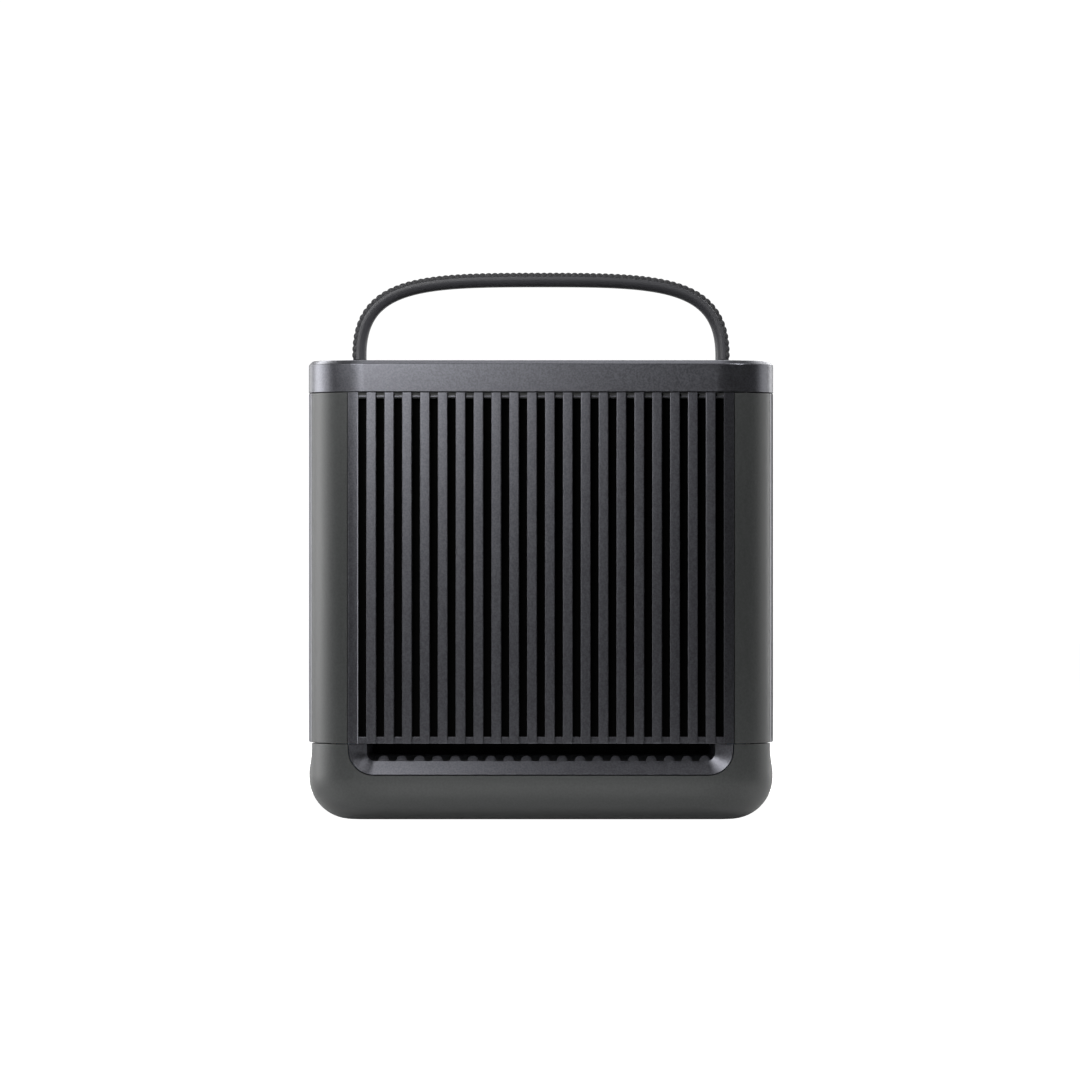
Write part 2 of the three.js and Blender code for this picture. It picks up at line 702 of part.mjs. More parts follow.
function carSocket() {
  const { x, z, radius, bore, depth } = CAR_SOCKET;
  const flangeTop = FLANGE_FRONT + 1.2;
  const back = REAR_FACE - depth;
  const stud = 3;
  return turned(
    [
      [0, back - 2],
      [radius, back - 2],
      [radius, FLANGE_FRONT],
      [radius + FLANGE_RIM, FLANGE_FRONT],
      [radius + FLANGE_RIM, flangeTop],
      [bore, flangeTop],
      [bore, back],
      [stud, back],
      [stud, back + 4],
      [0, back + 5],
    ],
    x,
    z,
    20,
  );
}

function chargeInlet() {
  const flangeTop = FLANGE_FRONT + 1.2;
  const flange = slab(ovalOf(INLET, FLANGE_RIM, 4), FLANGE_FRONT, flangeTop, 4);
  const body = slab(ovalOf(INLET, 0, 3), flangeTop - 18, flangeTop, 4);
  const well = slab(ovalOf(INLET, -2, 2), flangeTop - 10, flangeTop + 1, 4);
  let inlet = cut(join(flange, body), well);
  for (const side of [-1, 1]) {
    inlet = join(inlet, rod(1.8, flangeTop - 11, flangeTop - 2, INLET.x + side * 4.5, INLET.z, 14));
  }
  return inlet;
}

// A flap that lies over a socket and turns on a barrel along its upper edge.
const FLAP_THICK = 1.4;
const FLAP_BACK = FLANGE_FRONT + 1.5;
const BARREL_R = 1.3;
const BARREL_Y = FLAP_BACK + FLAP_THICK - BARREL_R;

function flap(item, coverGrow, radius, hingeRise) {
  const top = item.z + item.halfZ + coverGrow;
  const leaf = slab(ovalOf(item, coverGrow, radius), FLAP_BACK, FLAP_BACK + FLAP_THICK, 6);
  const tabHalf = item.halfX * 0.6;
  const tab = block(
    [item.x - tabHalf, FLAP_BACK, top - 1],
    [item.x + tabHalf, FLAP_BACK + FLAP_THICK, top + hingeRise],
  );
  const barrel = rodX(BARREL_R, item.x - tabHalf, item.x + tabHalf, BARREL_Y, top + hingeRise, 16);
  return join(leaf, tab, barrel);
}

const CAR_FACE = { ...CAR_SOCKET, halfX: CAR_SOCKET.radius, halfZ: CAR_SOCKET.radius };
const HINGE_RISE = 2.6;

// ---- Fans --------------------------------------------------------------------------

const FAN_HALF = 40;
const FAN_Z = 164;
const FAN_OUT = HALF_W - BODY_INSET - FRAME_WALL - SCREEN_CLEAR - SCREEN_THICK - GAP;
const FAN_THICK = 15;
const FAN_BORE = 37.6;
const HUB_R = 13;
const BLADE_R = 36.4;
const BLADE_COUNT = 7;
const SPIDER = 2;

// Built with its axis along Y and its intake towards -Y, then turned to the case's side.
function fanFrame() {
  const y0 = -FAN_OUT;
  const y1 = y0 + FAN_THICK;
  const corner = 5;
  const face = roundedRect(-FAN_HALF, FAN_Z - FAN_HALF, FAN_HALF, FAN_Z + FAN_HALF, corner);
  const box = slab(face, y0, y1, 4);
  let frame = cut(box, rod(FAN_BORE, y0 - 1, y1 + 1, 0, FAN_Z, 32));
  frame = join(frame, rod(HUB_R, y1 - SPIDER, y1, 0, FAN_Z));
  const arm = 2;
  frame = join(
    frame,
    block([-FAN_BORE - 1, y1 - SPIDER, FAN_Z - arm], [FAN_BORE + 1, y1, FAN_Z + arm]),
    block([-arm, y1 - SPIDER, FAN_Z - FAN_BORE - 1], [arm, y1, FAN_Z + FAN_BORE + 1]),
  );
  for (const sx of [-1, 1]) {
    for (const sz of [-1, 1]) {
      const inset = FAN_HALF - 4.5;
      frame = cut(frame, rod(2, y0 - 1, y1 + 1, sx * inset, FAN_Z + sz * inset, 8));
    }
  }
  return frame;
}

function fanRotor() {
  const y0 = -FAN_OUT + 1;
  const y1 = -FAN_OUT + FAN_THICK - SPIDER - 0.6;
  const middle = (y0 + y1) / 2;
  const chord = 13;
  const thick = 1.3;
  const pitch = THREE.MathUtils.degToRad(38);
  let rotor = rod(HUB_R, y0, y1, 0, FAN_Z);
  for (let index = 0; index < BLADE_COUNT; index += 1) {
    const length = BLADE_R - HUB_R + 2;
    const geometry = new THREE.BoxGeometry(chord, thick, length, 1, 1, 1);
    geometry.rotateZ(pitch);
    geometry.translate(0, 0, HUB_R - 2 + length / 2);
    geometry.rotateY((index * 2 * Math.PI) / BLADE_COUNT);
    geometry.translate(0, middle, FAN_Z);
    rotor = join(rotor, solid(geometry));
  }
  return rotor;
}

// ---- Battery pack and electronics ----------------------------------------------------

const CELL_COUNT = 8;
const CELL_THICK = 26;
const CELL_PITCH = CELL_THICK + 0.4;
const CELL_HALF_Y = 55;
const CELL_HEIGHT = 96;
const TRAY_BOTTOM = 8.6;
const TRAY_FLOOR = 2;
const CELL_BOTTOM = TRAY_BOTTOM + TRAY_FLOOR + GAP;
const CELL_TOP = CELL_BOTTOM + CELL_HEIGHT;
const PACK_HALF_X = (CELL_COUNT * CELL_PITCH) / 2;
const TRAY_HALF_X = PACK_HALF_X + 2;
const TRAY_HALF_Y = 58;
const TRAY_RIM = 24;

function batteryTray() {
  const outer = block([-TRAY_HALF_X, -TRAY_HALF_Y, TRAY_BOTTOM], [TRAY_HALF_X, TRAY_HALF_Y, TRAY_RIM]);
  const wall = 1.6;
  const inner = block(
    [-TRAY_HALF_X + wall, -CELL_HALF_Y - GAP, TRAY_BOTTOM + TRAY_FLOOR],
    [TRAY_HALF_X - wall, CELL_HALF_Y + GAP, TRAY_RIM + 1],
  );
  let tray = cut(outer, inner);
  const postBottom = FOOT_PROUD + BASE_FLOOR + GAP;
  for (const [, sx, sy] of QUADRANTS) {
    const x = sx * BASE_SCREW_X;
    const y = sy * BASE_SCREW_Y;
    tray = join(tray, rodZ(5, postBottom, TRAY_BOTTOM + 1, x, y));
    tray = cut(tray, rodZ(SCREW_SHANK_R + GAP, postBottom - 1, postBottom + 7, x, y, 8));
  }
  return tray;
}

function batteryCell(index) {
  const x = (index - (CELL_COUNT - 1) / 2) * CELL_PITCH;
  const half = CELL_THICK / 2;
  const can = block([x - half, -CELL_HALF_Y, CELL_BOTTOM], [x + half, CELL_HALF_Y, CELL_TOP]);
  const terminal = (sign) => rodZ(4, CELL_TOP - 1, CELL_TOP + 2, x, sign * CELL_HALF_Y * 0.65, 8);
  return join(can, terminal(-1), terminal(1));
}

const RETAINER_BOTTOM = CELL_TOP + 2 + GAP;

function cellRetainer() {
  const low = [-PACK_HALF_X, -CELL_HALF_Y, RETAINER_BOTTOM];
  const high = [PACK_HALF_X, CELL_HALF_Y, RETAINER_BOTTOM + 2];
  const plate = block(low, high);
  const centreSlot = block([-PACK_HALF_X + 12, -16, 0], [PACK_HALF_X - 12, 16, CAP_TOP]);
  return cut(plate, centreSlot);
}

const SHELF_Z = 118;
const SHELF_THICK = 1.5;

// Bent sheet-metal bridge that stands on the tray and carries the electronics.
function innerShelf() {
  const half = PACK_HALF_X + 1.2;
  const halfY = 50;
  const top = block([-half, -halfY, SHELF_Z], [half, halfY, SHELF_Z + SHELF_THICK]);
  const leg = (sign) => {
    const xs = [sign * (half - 0.7), sign * (half + 0.8)].sort((a, b) => a - b);
    return block([xs[0], -halfY, TRAY_RIM + GAP], [xs[1], halfY, SHELF_Z + SHELF_THICK]);
  };
  return join(top, leg(-1), leg(1));
}

const BOARD = 1.6;

function bmsBoard() {
  const z = RETAINER_BOTTOM + 2 + GAP;
  const board = block([-60, -14, z], [60, 14, z + BOARD]);
  let result = board;
  for (let index = 0; index < 5; index += 1) {
    const x = -44 + index * 22;
    result = join(result, block([x - 6, -8, z + 1], [x + 6, 8, z + BOARD + 2]));
  }
  return result;
}

const INVERTER_Z = SHELF_Z + SHELF_THICK + 4;
const INVERTER_TOP = INVERTER_Z + BOARD;

function inverterBoard() {
  let board = block([-88, -48, INVERTER_Z], [88, 42, INVERTER_TOP]);
  for (const sx of [-1, 1]) {
    for (const y of [-42, 36]) {
      board = join(board, rodZ(3, SHELF_Z + SHELF_THICK + GAP, INVERTER_Z + 0.5, sx * 82, y, 8));
    }
  }
  board = join(board, block([-74, 2, INVERTER_Z + 1], [-36, 38, INVERTER_TOP + 32]));
  board = join(board, block([32, 6, INVERTER_Z + 1], [56, 34, INVERTER_TOP + 20]));
  for (let index = 0; index < 3; index += 1) {
    board = join(board, rodZ(8, INVERTER_Z + 1, INVERTER_TOP + 28, -18 + index * 18, 26, 16));
  }
  return board;
}

function heatSink() {
  const z0 = INVERTER_TOP + GAP;
  let sink = block([-76, -46, z0], [76, -10, z0 + 5]);
  const fins = 9;
  for (let index = 0; index < fins; index += 1) {
    const y = -46 + index * 4.25;
    sink = join(sink, block([-76, y, z0 + 4], [76, y + 2, z0 + 34]));
  }
  return sink;
}

function controlBoard() {
  const y0 = PANEL_BACK - 14;
  const board = block([-80, y0, 168], [60, y0 + BOARD, 206]);
  const transformer = block([-70, y0 - 8, 174], [-40, y0 + 0.5, 198]);
  const processor = block([0, y0 - 5, 176], [22, y0 + 0.5, 196]);
  return join(board, transformer, processor);
}

// ---- Assembly ----------------------------------------------------------------------

add('base_shell', baseShell(), 'shell_plastic');
add('mid_frame', midFrame(), 'shell_plastic');
add('top_cap', topCap(), 'satin_metal');
add('top_deck', topDeck(), 'black_plastic');
const sideGrille = grille(SIDE_HALF, HALF_W, BODY_HALF_D, 13, SIDE_DUCT);
add('front_grille', grille(FRONT_HALF, HALF_D, BODY_HALF_W, 20, FRONT_DUCT), 'satin_metal');
add('left_grille', turnAboutZ(sideGrille, -90), 'satin_metal');
add('right_grille', turnAboutZ(sideGrille, 90), 'satin_metal');
add('rear_panel', rearPanel(), 'black_plastic');

for (const [corner, sx, sy] of QUADRANTS) {
  add(`foot_${corner}`, foot(sx, sy), 'rubber');
  add(`base_screw_${corner}`, baseScrew(sx, sy), 'steel');
}

add('handle_arch', handleArch(), 'black_plastic');
add('handle_grip_pad', handleGripPad(), 'rubber');
for (const [side, sx] of [['left', -1], ['right', 1]]) {
  add(`handle_bracket_${side}`, handleBracket(sx), 'steel');
  add(`handle_pin_${side}`, handlePin(sx), 'steel');
  add(`bracket_screw_${side}_outer`, bracketScrew(sx, sx), 'steel');
  add(`bracket_screw_${side}_inner`, bracketScrew(sx, -sx), 'steel');
}

add('dust_screen_front', dustScreen(FRONT_HALF, HALF_D, FRONT_DUCT), 'black_plastic');
for (const [side, turn] of [['left', -90], ['right', 90]]) {
  add(`dust_screen_${side}`, turnAboutZ(dustScreen(SIDE_HALF, HALF_W, SIDE_DUCT), turn), 'black_plastic');
  add(`fan_frame_${side}`, turnAboutZ(fanFrame(), turn), 'black_plastic');
  add(`fan_rotor_${side}`, turnAboutZ(fanRotor(), turn), 'black_plastic');
}

add('display_window', displayWindow(), 'display_glass');
add('display_module', displayModule(), 'black_plastic');
for (const [name, item] of Object.entries(BUTTONS)) {
  add(name, button(item), 'button_plastic');
}
for (const [name, item] of Object.entries(OUTLETS)) {
  add(name, acOutlet(item), 'socket_plastic');
}
add('port_block', portBlock(), 'socket_plastic');
add('car_socket', carSocket(), 'socket_plastic');
add('car_socket_cover', flap(CAR_FACE, FLANGE_RIM - 0.6, CAR_SOCKET.radius + 1.7, HINGE_RISE), 'rubber');
add('charge_inlet', chargeInlet(), 'socket_plastic');
add('charge_inlet_cover', flap(INLET, FLANGE_RIM - 0.6, 4, HINGE_RISE), 'rubber');

add('battery_tray', batteryTray(), 'black_plastic');
for (let index = 0; index < CELL_COUNT; index += 1) {
  add(`battery_cell_${index + 1}`, batteryCell(index), 'cell_case');
}
add('cell_retainer', cellRetainer(), 'black_plastic');
add('bms_board', bmsBoard(), 'circuit_board');
add('inner_shelf', innerShelf(), 'steel');
add('inverter_board', inverterBoard(), 'circuit_board');
add('heat_sink', heatSink(), 'aluminium');
add('control_board', controlBoard(), 'circuit_board');

export default station;
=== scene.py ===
"""Looks for a portable power station: a finned graphite case with a folding bail handle.

Lengths in the constants are millimetres; MM turns them into metres.
-Y is the plain finned front, +Y the control and socket panel, X runs along the handle.
"""

import json
import math

import bmesh
import bpy
from mathutils import Matrix, Vector


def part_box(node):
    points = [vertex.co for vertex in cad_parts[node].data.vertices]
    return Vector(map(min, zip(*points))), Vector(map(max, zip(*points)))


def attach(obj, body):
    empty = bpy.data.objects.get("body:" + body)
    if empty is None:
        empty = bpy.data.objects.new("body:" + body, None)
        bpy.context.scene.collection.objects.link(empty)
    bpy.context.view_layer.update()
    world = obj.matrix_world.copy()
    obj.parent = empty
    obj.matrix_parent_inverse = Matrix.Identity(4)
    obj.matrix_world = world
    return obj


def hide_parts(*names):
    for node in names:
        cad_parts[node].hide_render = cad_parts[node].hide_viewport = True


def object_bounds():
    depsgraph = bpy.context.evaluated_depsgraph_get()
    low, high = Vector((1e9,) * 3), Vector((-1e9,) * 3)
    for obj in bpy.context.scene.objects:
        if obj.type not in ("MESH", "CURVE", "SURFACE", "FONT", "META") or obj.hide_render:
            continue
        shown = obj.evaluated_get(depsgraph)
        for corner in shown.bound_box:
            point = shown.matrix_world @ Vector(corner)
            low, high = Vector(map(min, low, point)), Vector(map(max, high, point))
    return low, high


MM = 0.001
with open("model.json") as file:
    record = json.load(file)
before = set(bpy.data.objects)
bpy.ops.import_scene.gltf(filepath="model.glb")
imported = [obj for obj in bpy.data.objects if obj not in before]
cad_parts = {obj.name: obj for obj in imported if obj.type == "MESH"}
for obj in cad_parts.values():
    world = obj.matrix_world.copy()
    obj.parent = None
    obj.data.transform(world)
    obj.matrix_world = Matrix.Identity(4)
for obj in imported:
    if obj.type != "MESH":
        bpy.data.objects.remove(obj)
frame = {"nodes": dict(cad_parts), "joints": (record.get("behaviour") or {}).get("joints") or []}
cad_low, cad_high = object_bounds()


# ---- Sizes taken from the frame --------------------------------------------------------


def node_box(node):
    """Low and high corners of a CAD node in millimetres."""
    low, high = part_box(node)
    return low / MM, high / MM


cap_low, cap_high = node_box("top_cap")
base_low, base_high = node_box("base_shell")
column_low, column_high = node_box("mid_frame")
front_low, front_high = node_box("front_grille")
side_low, side_high = node_box("right_grille")
deck_low, deck_high = node_box("top_deck")
pad_high = node_box("handle_grip_pad")[1]

HALF_W = cap_high.x
HALF_D = cap_high.y
CAP_BOTTOM = cap_low.z
CAP_TOP = cap_high.z
BODY_INSET = 0.6
BODY_HALF_W = HALF_W - BODY_INSET
BODY_HALF_D = HALF_D - BODY_INSET
BASE_BOTTOM = base_low.z
BASE_TOP = base_high.z
LIP_INSET = 0.4
PLATE_TOP = front_high.z
LIP_BOTTOM = front_low.z - LIP_INSET
FRONT_HALF = front_high.x
SIDE_HALF = side_high.y
FRONT_DUCT_END = front_high.y - front_low.y
SIDE_DUCT_END = side_high.x - side_low.x

# ---- Sizes that the frame's boxes don't give -------------------------------------------

CORNER_R = 29.0
BOTTOM_R = 21.5
BASE_FLARE = 0.4
BASE_WALL = 2.6
FRAME_WALL = 5.1
GAP = 0.3
PLATE = 3.0
FIN_EDGE = 0.45
RAIL_EDGE = 0.4
PAD_SHIFT = 1.7
RAIL = 5.3
FIN_PITCH = 9.07
FIN_WIDTH = 5.02
LOWER_RAIL = 3.4
UPPER_RAIL = 3.2
LIP_DEPTH = 5.0
DUCT_SLOPE = 0.27
SCOOP_R = 13.2
CAP_WALL = 4.5
CAP_CHAMFER = 2.0

MATERIALS = {}


# ---- Shader helpers --------------------------------------------------------------------


def shader(name, color, roughness, metallic=0.0):
    """A new material with a Principled shader, and the node tree to build on."""
    material = bpy.data.materials.new(name)
    material.use_nodes = True
    tree = material.node_tree
    principled = tree.nodes["Principled BSDF"]
    principled.inputs["Base Color"].default_value = (*color, 1.0)
    principled.inputs["Roughness"].default_value = roughness
    principled.inputs["Metallic"].default_value = metallic
    MATERIALS[name] = material
    return material, tree, principled


def object_coords(tree):
    return tree.nodes.new("ShaderNodeTexCoord").outputs["Object"]


def noise(tree, coords, scale, detail):
    """Noise over the object; the scale counts features in a metre."""
    texture = tree.nodes.new("ShaderNodeTexNoise")
    texture.inputs["Scale"].default_value = scale
    texture.inputs["Detail"].default_value = detail
    tree.links.new(coords, texture.inputs["Vector"])
    return texture.outputs["Fac"]


def spread(tree, value, low, high):
    """Maps the middle of a noise pattern on to the range from low to high."""
    node = tree.nodes.new("ShaderNodeMapRange")
    node.inputs["From Min"].default_value = 0.3
    node.inputs["From Max"].default_value = 0.7
    node.inputs["To Min"].default_value = low
    node.inputs["To Max"].default_value = high
    tree.links.new(value, node.inputs["Value"])
    return node.outputs["Result"]


def two_tones(tree, value, color, vary):
    """A colour that a noise pattern makes darker and lighter by a fraction."""
    dark = scaled(color, 1 - vary)
    light = scaled(color, 1 + vary)
    ramp = tree.nodes.new("ShaderNodeValToRGB")
    ramp.color_ramp.elements[0].position = 0.35
    ramp.color_ramp.elements[0].color = (*dark, 1.0)
    ramp.color_ramp.elements[1].position = 0.65
    ramp.color_ramp.elements[1].color = (*light, 1.0)
    tree.links.new(value, ramp.inputs["Fac"])
    return ramp.outputs["Color"]


def bump(tree, principled, height, distance):
    """Raises the surface with a pattern, by a distance in millimetres."""
    node = tree.nodes.new("ShaderNodeBump")
    node.inputs["Distance"].default_value = distance * MM
    node.inputs["Strength"].default_value = 0.3
    tree.links.new(height, node.inputs["Height"])
    tree.links.new(node.outputs["Normal"], principled.inputs["Normal"])


def scaled(color, factor):
    return tuple(channel * factor for channel in color)


def textured(
    name, color, roughness, metallic, grain, grain_height, vary=0.06, rough_vary=0.05, flecks=0.0
):
    """A moulded or blasted surface.

    Fine grain is in the bump and the gloss. The tone drifts slowly by vary, or, where flecks is
    given, changes from grain to grain by flecks.
    """
    material, tree, principled = shader(name, color, roughness, metallic)
    coords = object_coords(tree)
    drift = noise(tree, coords, 18.0, 4.0)
    fine = noise(tree, coords, grain, 2.0)
    speckle = noise(tree, coords, grain * 0.6, 2.0)
    if flecks:
        tones = two_tones(tree, speckle, color, flecks)
    else:
        tones = two_tones(tree, drift, color, vary)
    tree.links.new(tones, principled.inputs["Base Color"])
    gloss = spread(tree, speckle, roughness - rough_vary, roughness + rough_vary)
    tree.links.new(gloss, principled.inputs["Roughness"])
    bump(tree, principled, fine, grain_height)
    return material, tree, principled


# ---- Materials -------------------------------------------------------------------------


def make_materials():
    textured("shell_plastic", (0.046, 0.0485, 0.048), 0.42, 0.0, 1500.0, 0.02, 0.06, 0.05, 0.1)
    textured("satin_metal", (0.13, 0.1315, 0.147), 0.33, 0.9, 1900.0, 0.01, 0.05, 0.04, 0.14)
    textured("black_plastic", (0.018, 0.018, 0.02), 0.5, 0.0, 1500.0, 0.02)
    textured("handle_plastic", (0.05, 0.05, 0.056), 0.42, 0.0, 1200.0, 0.015)
    textured("socket_plastic", (0.022, 0.022, 0.025), 0.34, 0.0, 1400.0, 0.02)
    textured("rubber", (0.03, 0.03, 0.033), 0.6, 0.0, 1000.0, 0.02)
    # The dust screens' near-black, barely reflecting finish is partly their own black mesh and partly
    # painted shade, standing for the dark interior seen through the slots.
    screen = textured("screen_black_painted_shade", (0.002, 0.002, 0.002), 0.9, 0.0, 900.0, 0.05)[2]
    screen.inputs["Specular IOR Level"].default_value = 0.05
    textured("button_plastic", (0.09, 0.09, 0.097), 0.4, 0.0, 1500.0, 0.02)
    textured("aluminium", (0.62, 0.63, 0.65), 0.38, 1.0, 1300.0, 0.03)
    textured("cell_case", (0.05, 0.13, 0.27), 0.35, 0.0, 500.0, 0.02)
    textured("circuit_board", (0.015, 0.09, 0.04), 0.42, 0.0, 700.0, 0.03, 0.2)
    textured("steel", (0.5, 0.5, 0.51), 0.32, 1.0, 1200.0, 0.02)
    textured("dark_steel", (0.1, 0.1, 0.105), 0.34, 1.0, 1200.0, 0.012)
    textured("lamp_plastic", (0.5, 0.52, 0.55), 0.3, 0.0, 900.0, 0.01)
    textured("brass_contact", (0.6, 0.45, 0.2), 0.3, 1.0, 1200.0, 0.01)
    textured("display_glass", (0.006, 0.007, 0.009), 0.09, 0.0, 60.0, 0.002, 0.02, 0.02)


# ---- Mesh helpers ----------------------------------------------------------------------


def new_piece(name, bm, material, body="case", nodes=(), sharp=30.0):
    """A finished object from a bmesh in millimetres, riding on its body."""
    bmesh.ops.remove_doubles(bm, verts=bm.verts, dist=1e-4)
    bmesh.ops.recalc_face_normals(bm, faces=bm.faces)
    bmesh.ops.scale(bm, vec=(MM, MM, MM), verts=bm.verts)
    mesh = bpy.data.meshes.new(name)
    bm.to_mesh(mesh)
    bm.free()
    for polygon in mesh.polygons:
        polygon.use_smooth = True
    mesh.set_sharp_from_angle(angle=math.radians(sharp))
    obj = bpy.data.objects.new(name, mesh)
    bpy.context.scene.collection.objects.link(obj)
    mesh.materials.append(MATERIALS[material])
    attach(obj, body)
    if nodes:
        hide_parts(*nodes)
    weigh_normals(obj)
    return obj


def weigh_normals(obj):
    """Lets large flat faces shade flat, with the rounding kept to the narrow faces at their edges."""
    modifier = obj.modifiers.new("flat_faces", "WEIGHTED_NORMAL")
    modifier.keep_sharp = True
    modifier.weight = 80


def apply_modifiers(obj):
    """Bakes an object's modifiers into its mesh."""
    graph = bpy.context.evaluated_depsgraph_get()
    result = bpy.data.meshes.new_from_object(obj.evaluated_get(graph))
    old = obj.data
    obj.modifiers.clear()
    obj.data = result
    bpy.data.meshes.remove(old)


def cut_away(obj, cutter_bms, sharp=30.0):
    """Removes volumes, given as bmeshes in millimetres, from a piece."""
    obj.modifiers.clear()
    cutters = []
    for index, bm in enumerate(cutter_bms):
        bmesh.ops.recalc_face_normals(bm, faces=bm.faces)
        bmesh.ops.scale(bm, vec=(MM, MM, MM), verts=bm.verts)
        mesh = bpy.data.meshes.new(f"cutter_{index}")
        bm.to_mesh(mesh)
        bm.free()
        cutter = bpy.data.objects.new(mesh.name, mesh)
        bpy.context.scene.collection.objects.link(cutter)
        modifier = obj.modifiers.new(mesh.name, "BOOLEAN")
        modifier.object = cutter
        modifier.operation = "DIFFERENCE"
        modifier.solver = "EXACT"
        cutters.append(cutter)
    apply_modifiers(obj)
    for cutter in cutters:
        mesh = cutter.data
        bpy.data.objects.remove(cutter)
        bpy.data.meshes.remove(mesh)
    for polygon in obj.data.polygons:
        polygon.use_smooth = True
    obj.data.set_sharp_from_angle(angle=math.radians(sharp))
    weigh_normals(obj)


def loft(bm, loops, closed=False, cap_ends=True):
    """Quads between loops of the same length. Closed joins the last loop to the first."""
    rows = [[bm.verts.new(point) for point in loop] for loop in loops]
    count = len(rows[0])
    pairs = list(zip(rows, rows[1:]))
    if closed:
        pairs.append((rows[-1], rows[0]))
    for lower, upper in pairs:
        for i in range(count):
            j = (i + 1) % count
            bm.faces.new((lower[i], lower[j], upper[j], upper[i]))
    if cap_ends and not closed:
        bm.faces.new(rows[0])
        bm.faces.new(rows[-1])
    return rows


def strip_loft(bm, sections):
    """Quads along open paths that together make a closed section, with both ends capped."""
    columns = [[bm.verts.new(point) for point in section] for section in sections]
    for first, second in zip(columns, columns[1:]):
        for i in range(len(first)):
            j = (i + 1) % len(first)
            bm.faces.new((first[i], first[j], second[j], second[i]))
    bm.faces.new(columns[0])
    bm.faces.new(columns[-1])


def arc(cx, cy, radius, start, end, steps):
    """Points on a circular arc, angles in degrees."""
    result = []
    for i in range(steps + 1):
        angle = math.radians(start + (end - start) * i / steps)
        result.append((cx + radius * math.cos(angle), cy + radius * math.sin(angle)))
    return result


def rounded_rect(half_x, half_y, radius, steps=16):
    """Plan outline of a rounded rectangle, anticlockwise."""
    points = []
    corners = ((1, -1, -90), (1, 1, 0), (-1, 1, 90), (-1, -1, 180))
    for sx, sy, start in corners:
        cx = sx * (half_x - radius)
        cy = sy * (half_y - radius)
        points += arc(cx, cy, radius, start, start + 90, steps)
    return points


def plan_loop(half_x, half_y, radius, inset, z, steps=16):
    outline = rounded_rect(half_x - inset, half_y - inset, max(radius - inset, 0.4), steps)
    return [(x, y, z) for x, y in outline]


def bevelled_box(bm, low, high, radius, segments=3):
    """Adds a box with rounded edges."""
    size = Vector(high) - Vector(low)
    middle = (Vector(high) + Vector(low)) / 2
    matrix = Matrix.Translation(middle) @ Matrix.Diagonal((*size, 1.0))
    made = bmesh.ops.create_cube(bm, size=1.0, matrix=matrix)
    edges = {edge for vert in made["verts"] for edge in vert.link_edges}
    if radius > 0:
        bmesh.ops.bevel(
            bm,
            geom=list(edges),
            offset=radius,
            segments=segments,
            affect="EDGES",
            profile=0.5,
            clamp_overlap=True,
        )


def box_mesh(low, high):
    bm = bmesh.new()
    bevelled_box(bm, low, high, 0)
    return bm


def turn(bm, degrees):
    """Turns everything in a bmesh about the vertical axis."""
    bmesh.ops.rotate(
        bm, cent=(0, 0, 0), matrix=Matrix.Rotation(math.radians(degrees), 3, "Z"), verts=bm.verts
    )


# Front and both sides carry a grille: (half width, distance from the middle, turn).
FACES = (
    (FRONT_HALF, HALF_D, 0),
    (SIDE_HALF, HALF_W, 90),
    (SIDE_HALF, HALF_W, -90),
)


def bib_outline(half, grow):
    """A grille's outline in x and z: square at the top, rounded at the lower corners."""
    edge = half - LIP_INSET + grow
    bottom = LIP_BOTTOM + LIP_INSET - grow
    radius = SCOOP_R - LIP_INSET + grow
    top = PLATE_TOP + 40
    steps = 10
    points = [(-edge, top)]
    points += arc(-edge + radius, bottom + radius, radius, 180, 270, steps)
    points += arc(edge - radius, bottom + radius, radius, 270, 360, steps)
    points.append((edge, top))
    return points


def bib_cutter(half, distance, degrees, depth=30.0):
    bm = bmesh.new()
    outline = bib_outline(half, GAP)
    front = [(x, -distance - 5, z) for x, z in outline]
    back = [(x, -distance + depth, z) for x, z in outline]
    loft(bm, [front, back])
    turn(bm, degrees)
    return bm


# ---- Case ------------------------------------------------------------------------------


def base_shell():
    """Tub with rounded lower edges, open where the three intakes pass through its walls."""
    edge = 0.5
    arc_steps = 14
    outer = [(edge, BASE_TOP), (0.15, BASE_TOP - 0.15), (0, BASE_TOP - edge)]
    outer.append((-BASE_FLARE, BASE_BOTTOM + BOTTOM_R + 2))
    middle = BASE_BOTTOM + BOTTOM_R
    for x, z in arc(BOTTOM_R, middle, BOTTOM_R, 180, 270, arc_steps):
        outer.append((x - BASE_FLARE, z))
    inner_r = BOTTOM_R - BASE_WALL
    inner = []
    for x, z in arc(BOTTOM_R, middle + 0.6, inner_r, 270, 180, arc_steps):
        inner.append((x, z))
    inner.append((BASE_WALL, BASE_TOP))
    bm = bmesh.new()
    loops = [plan_loop(BODY_HALF_W, BODY_HALF_D, CORNER_R, inset, z) for inset, z in outer]
    rows = loft(bm, loops, cap_ends=False)
    bm.faces.new(rows[-1])
    inner_loops = [plan_loop(BODY_HALF_W, BODY_HALF_D, CORNER_R, inset, z) for inset, z in inner]
    inner_rows = loft(bm, inner_loops, cap_ends=False)
    bm.faces.new(inner_rows[0])
    count = len(rows[0])
    for i in range(count):
        j = (i + 1) % count
        bm.faces.new((rows[0][i], rows[0][j], inner_rows[-1][j], inner_rows[-1][i]))
    piece = new_piece("base_tub", bm, "shell_plastic", nodes=["base_shell"])
    cutters = [bib_cutter(*face) for face in FACES]
    for node in fastener_nodes("foot_", "base_screw_"):
        low, high = node_box(node)
        radius = (high.x - low.x) / 2 + GAP
        ceiling = BASE_BOTTOM + (1.2 if node.startswith("foot_") else 2.0)
        cutters.append(cylinder_mesh((low.x + high.x) / 2, (low.y + high.y) / 2, radius, -1, ceiling))
    cut_away(piece, cutters)
    return piece


def fastener_nodes(*prefixes):
    return [name for name in sorted(frame["nodes"]) if name.startswith(prefixes)]


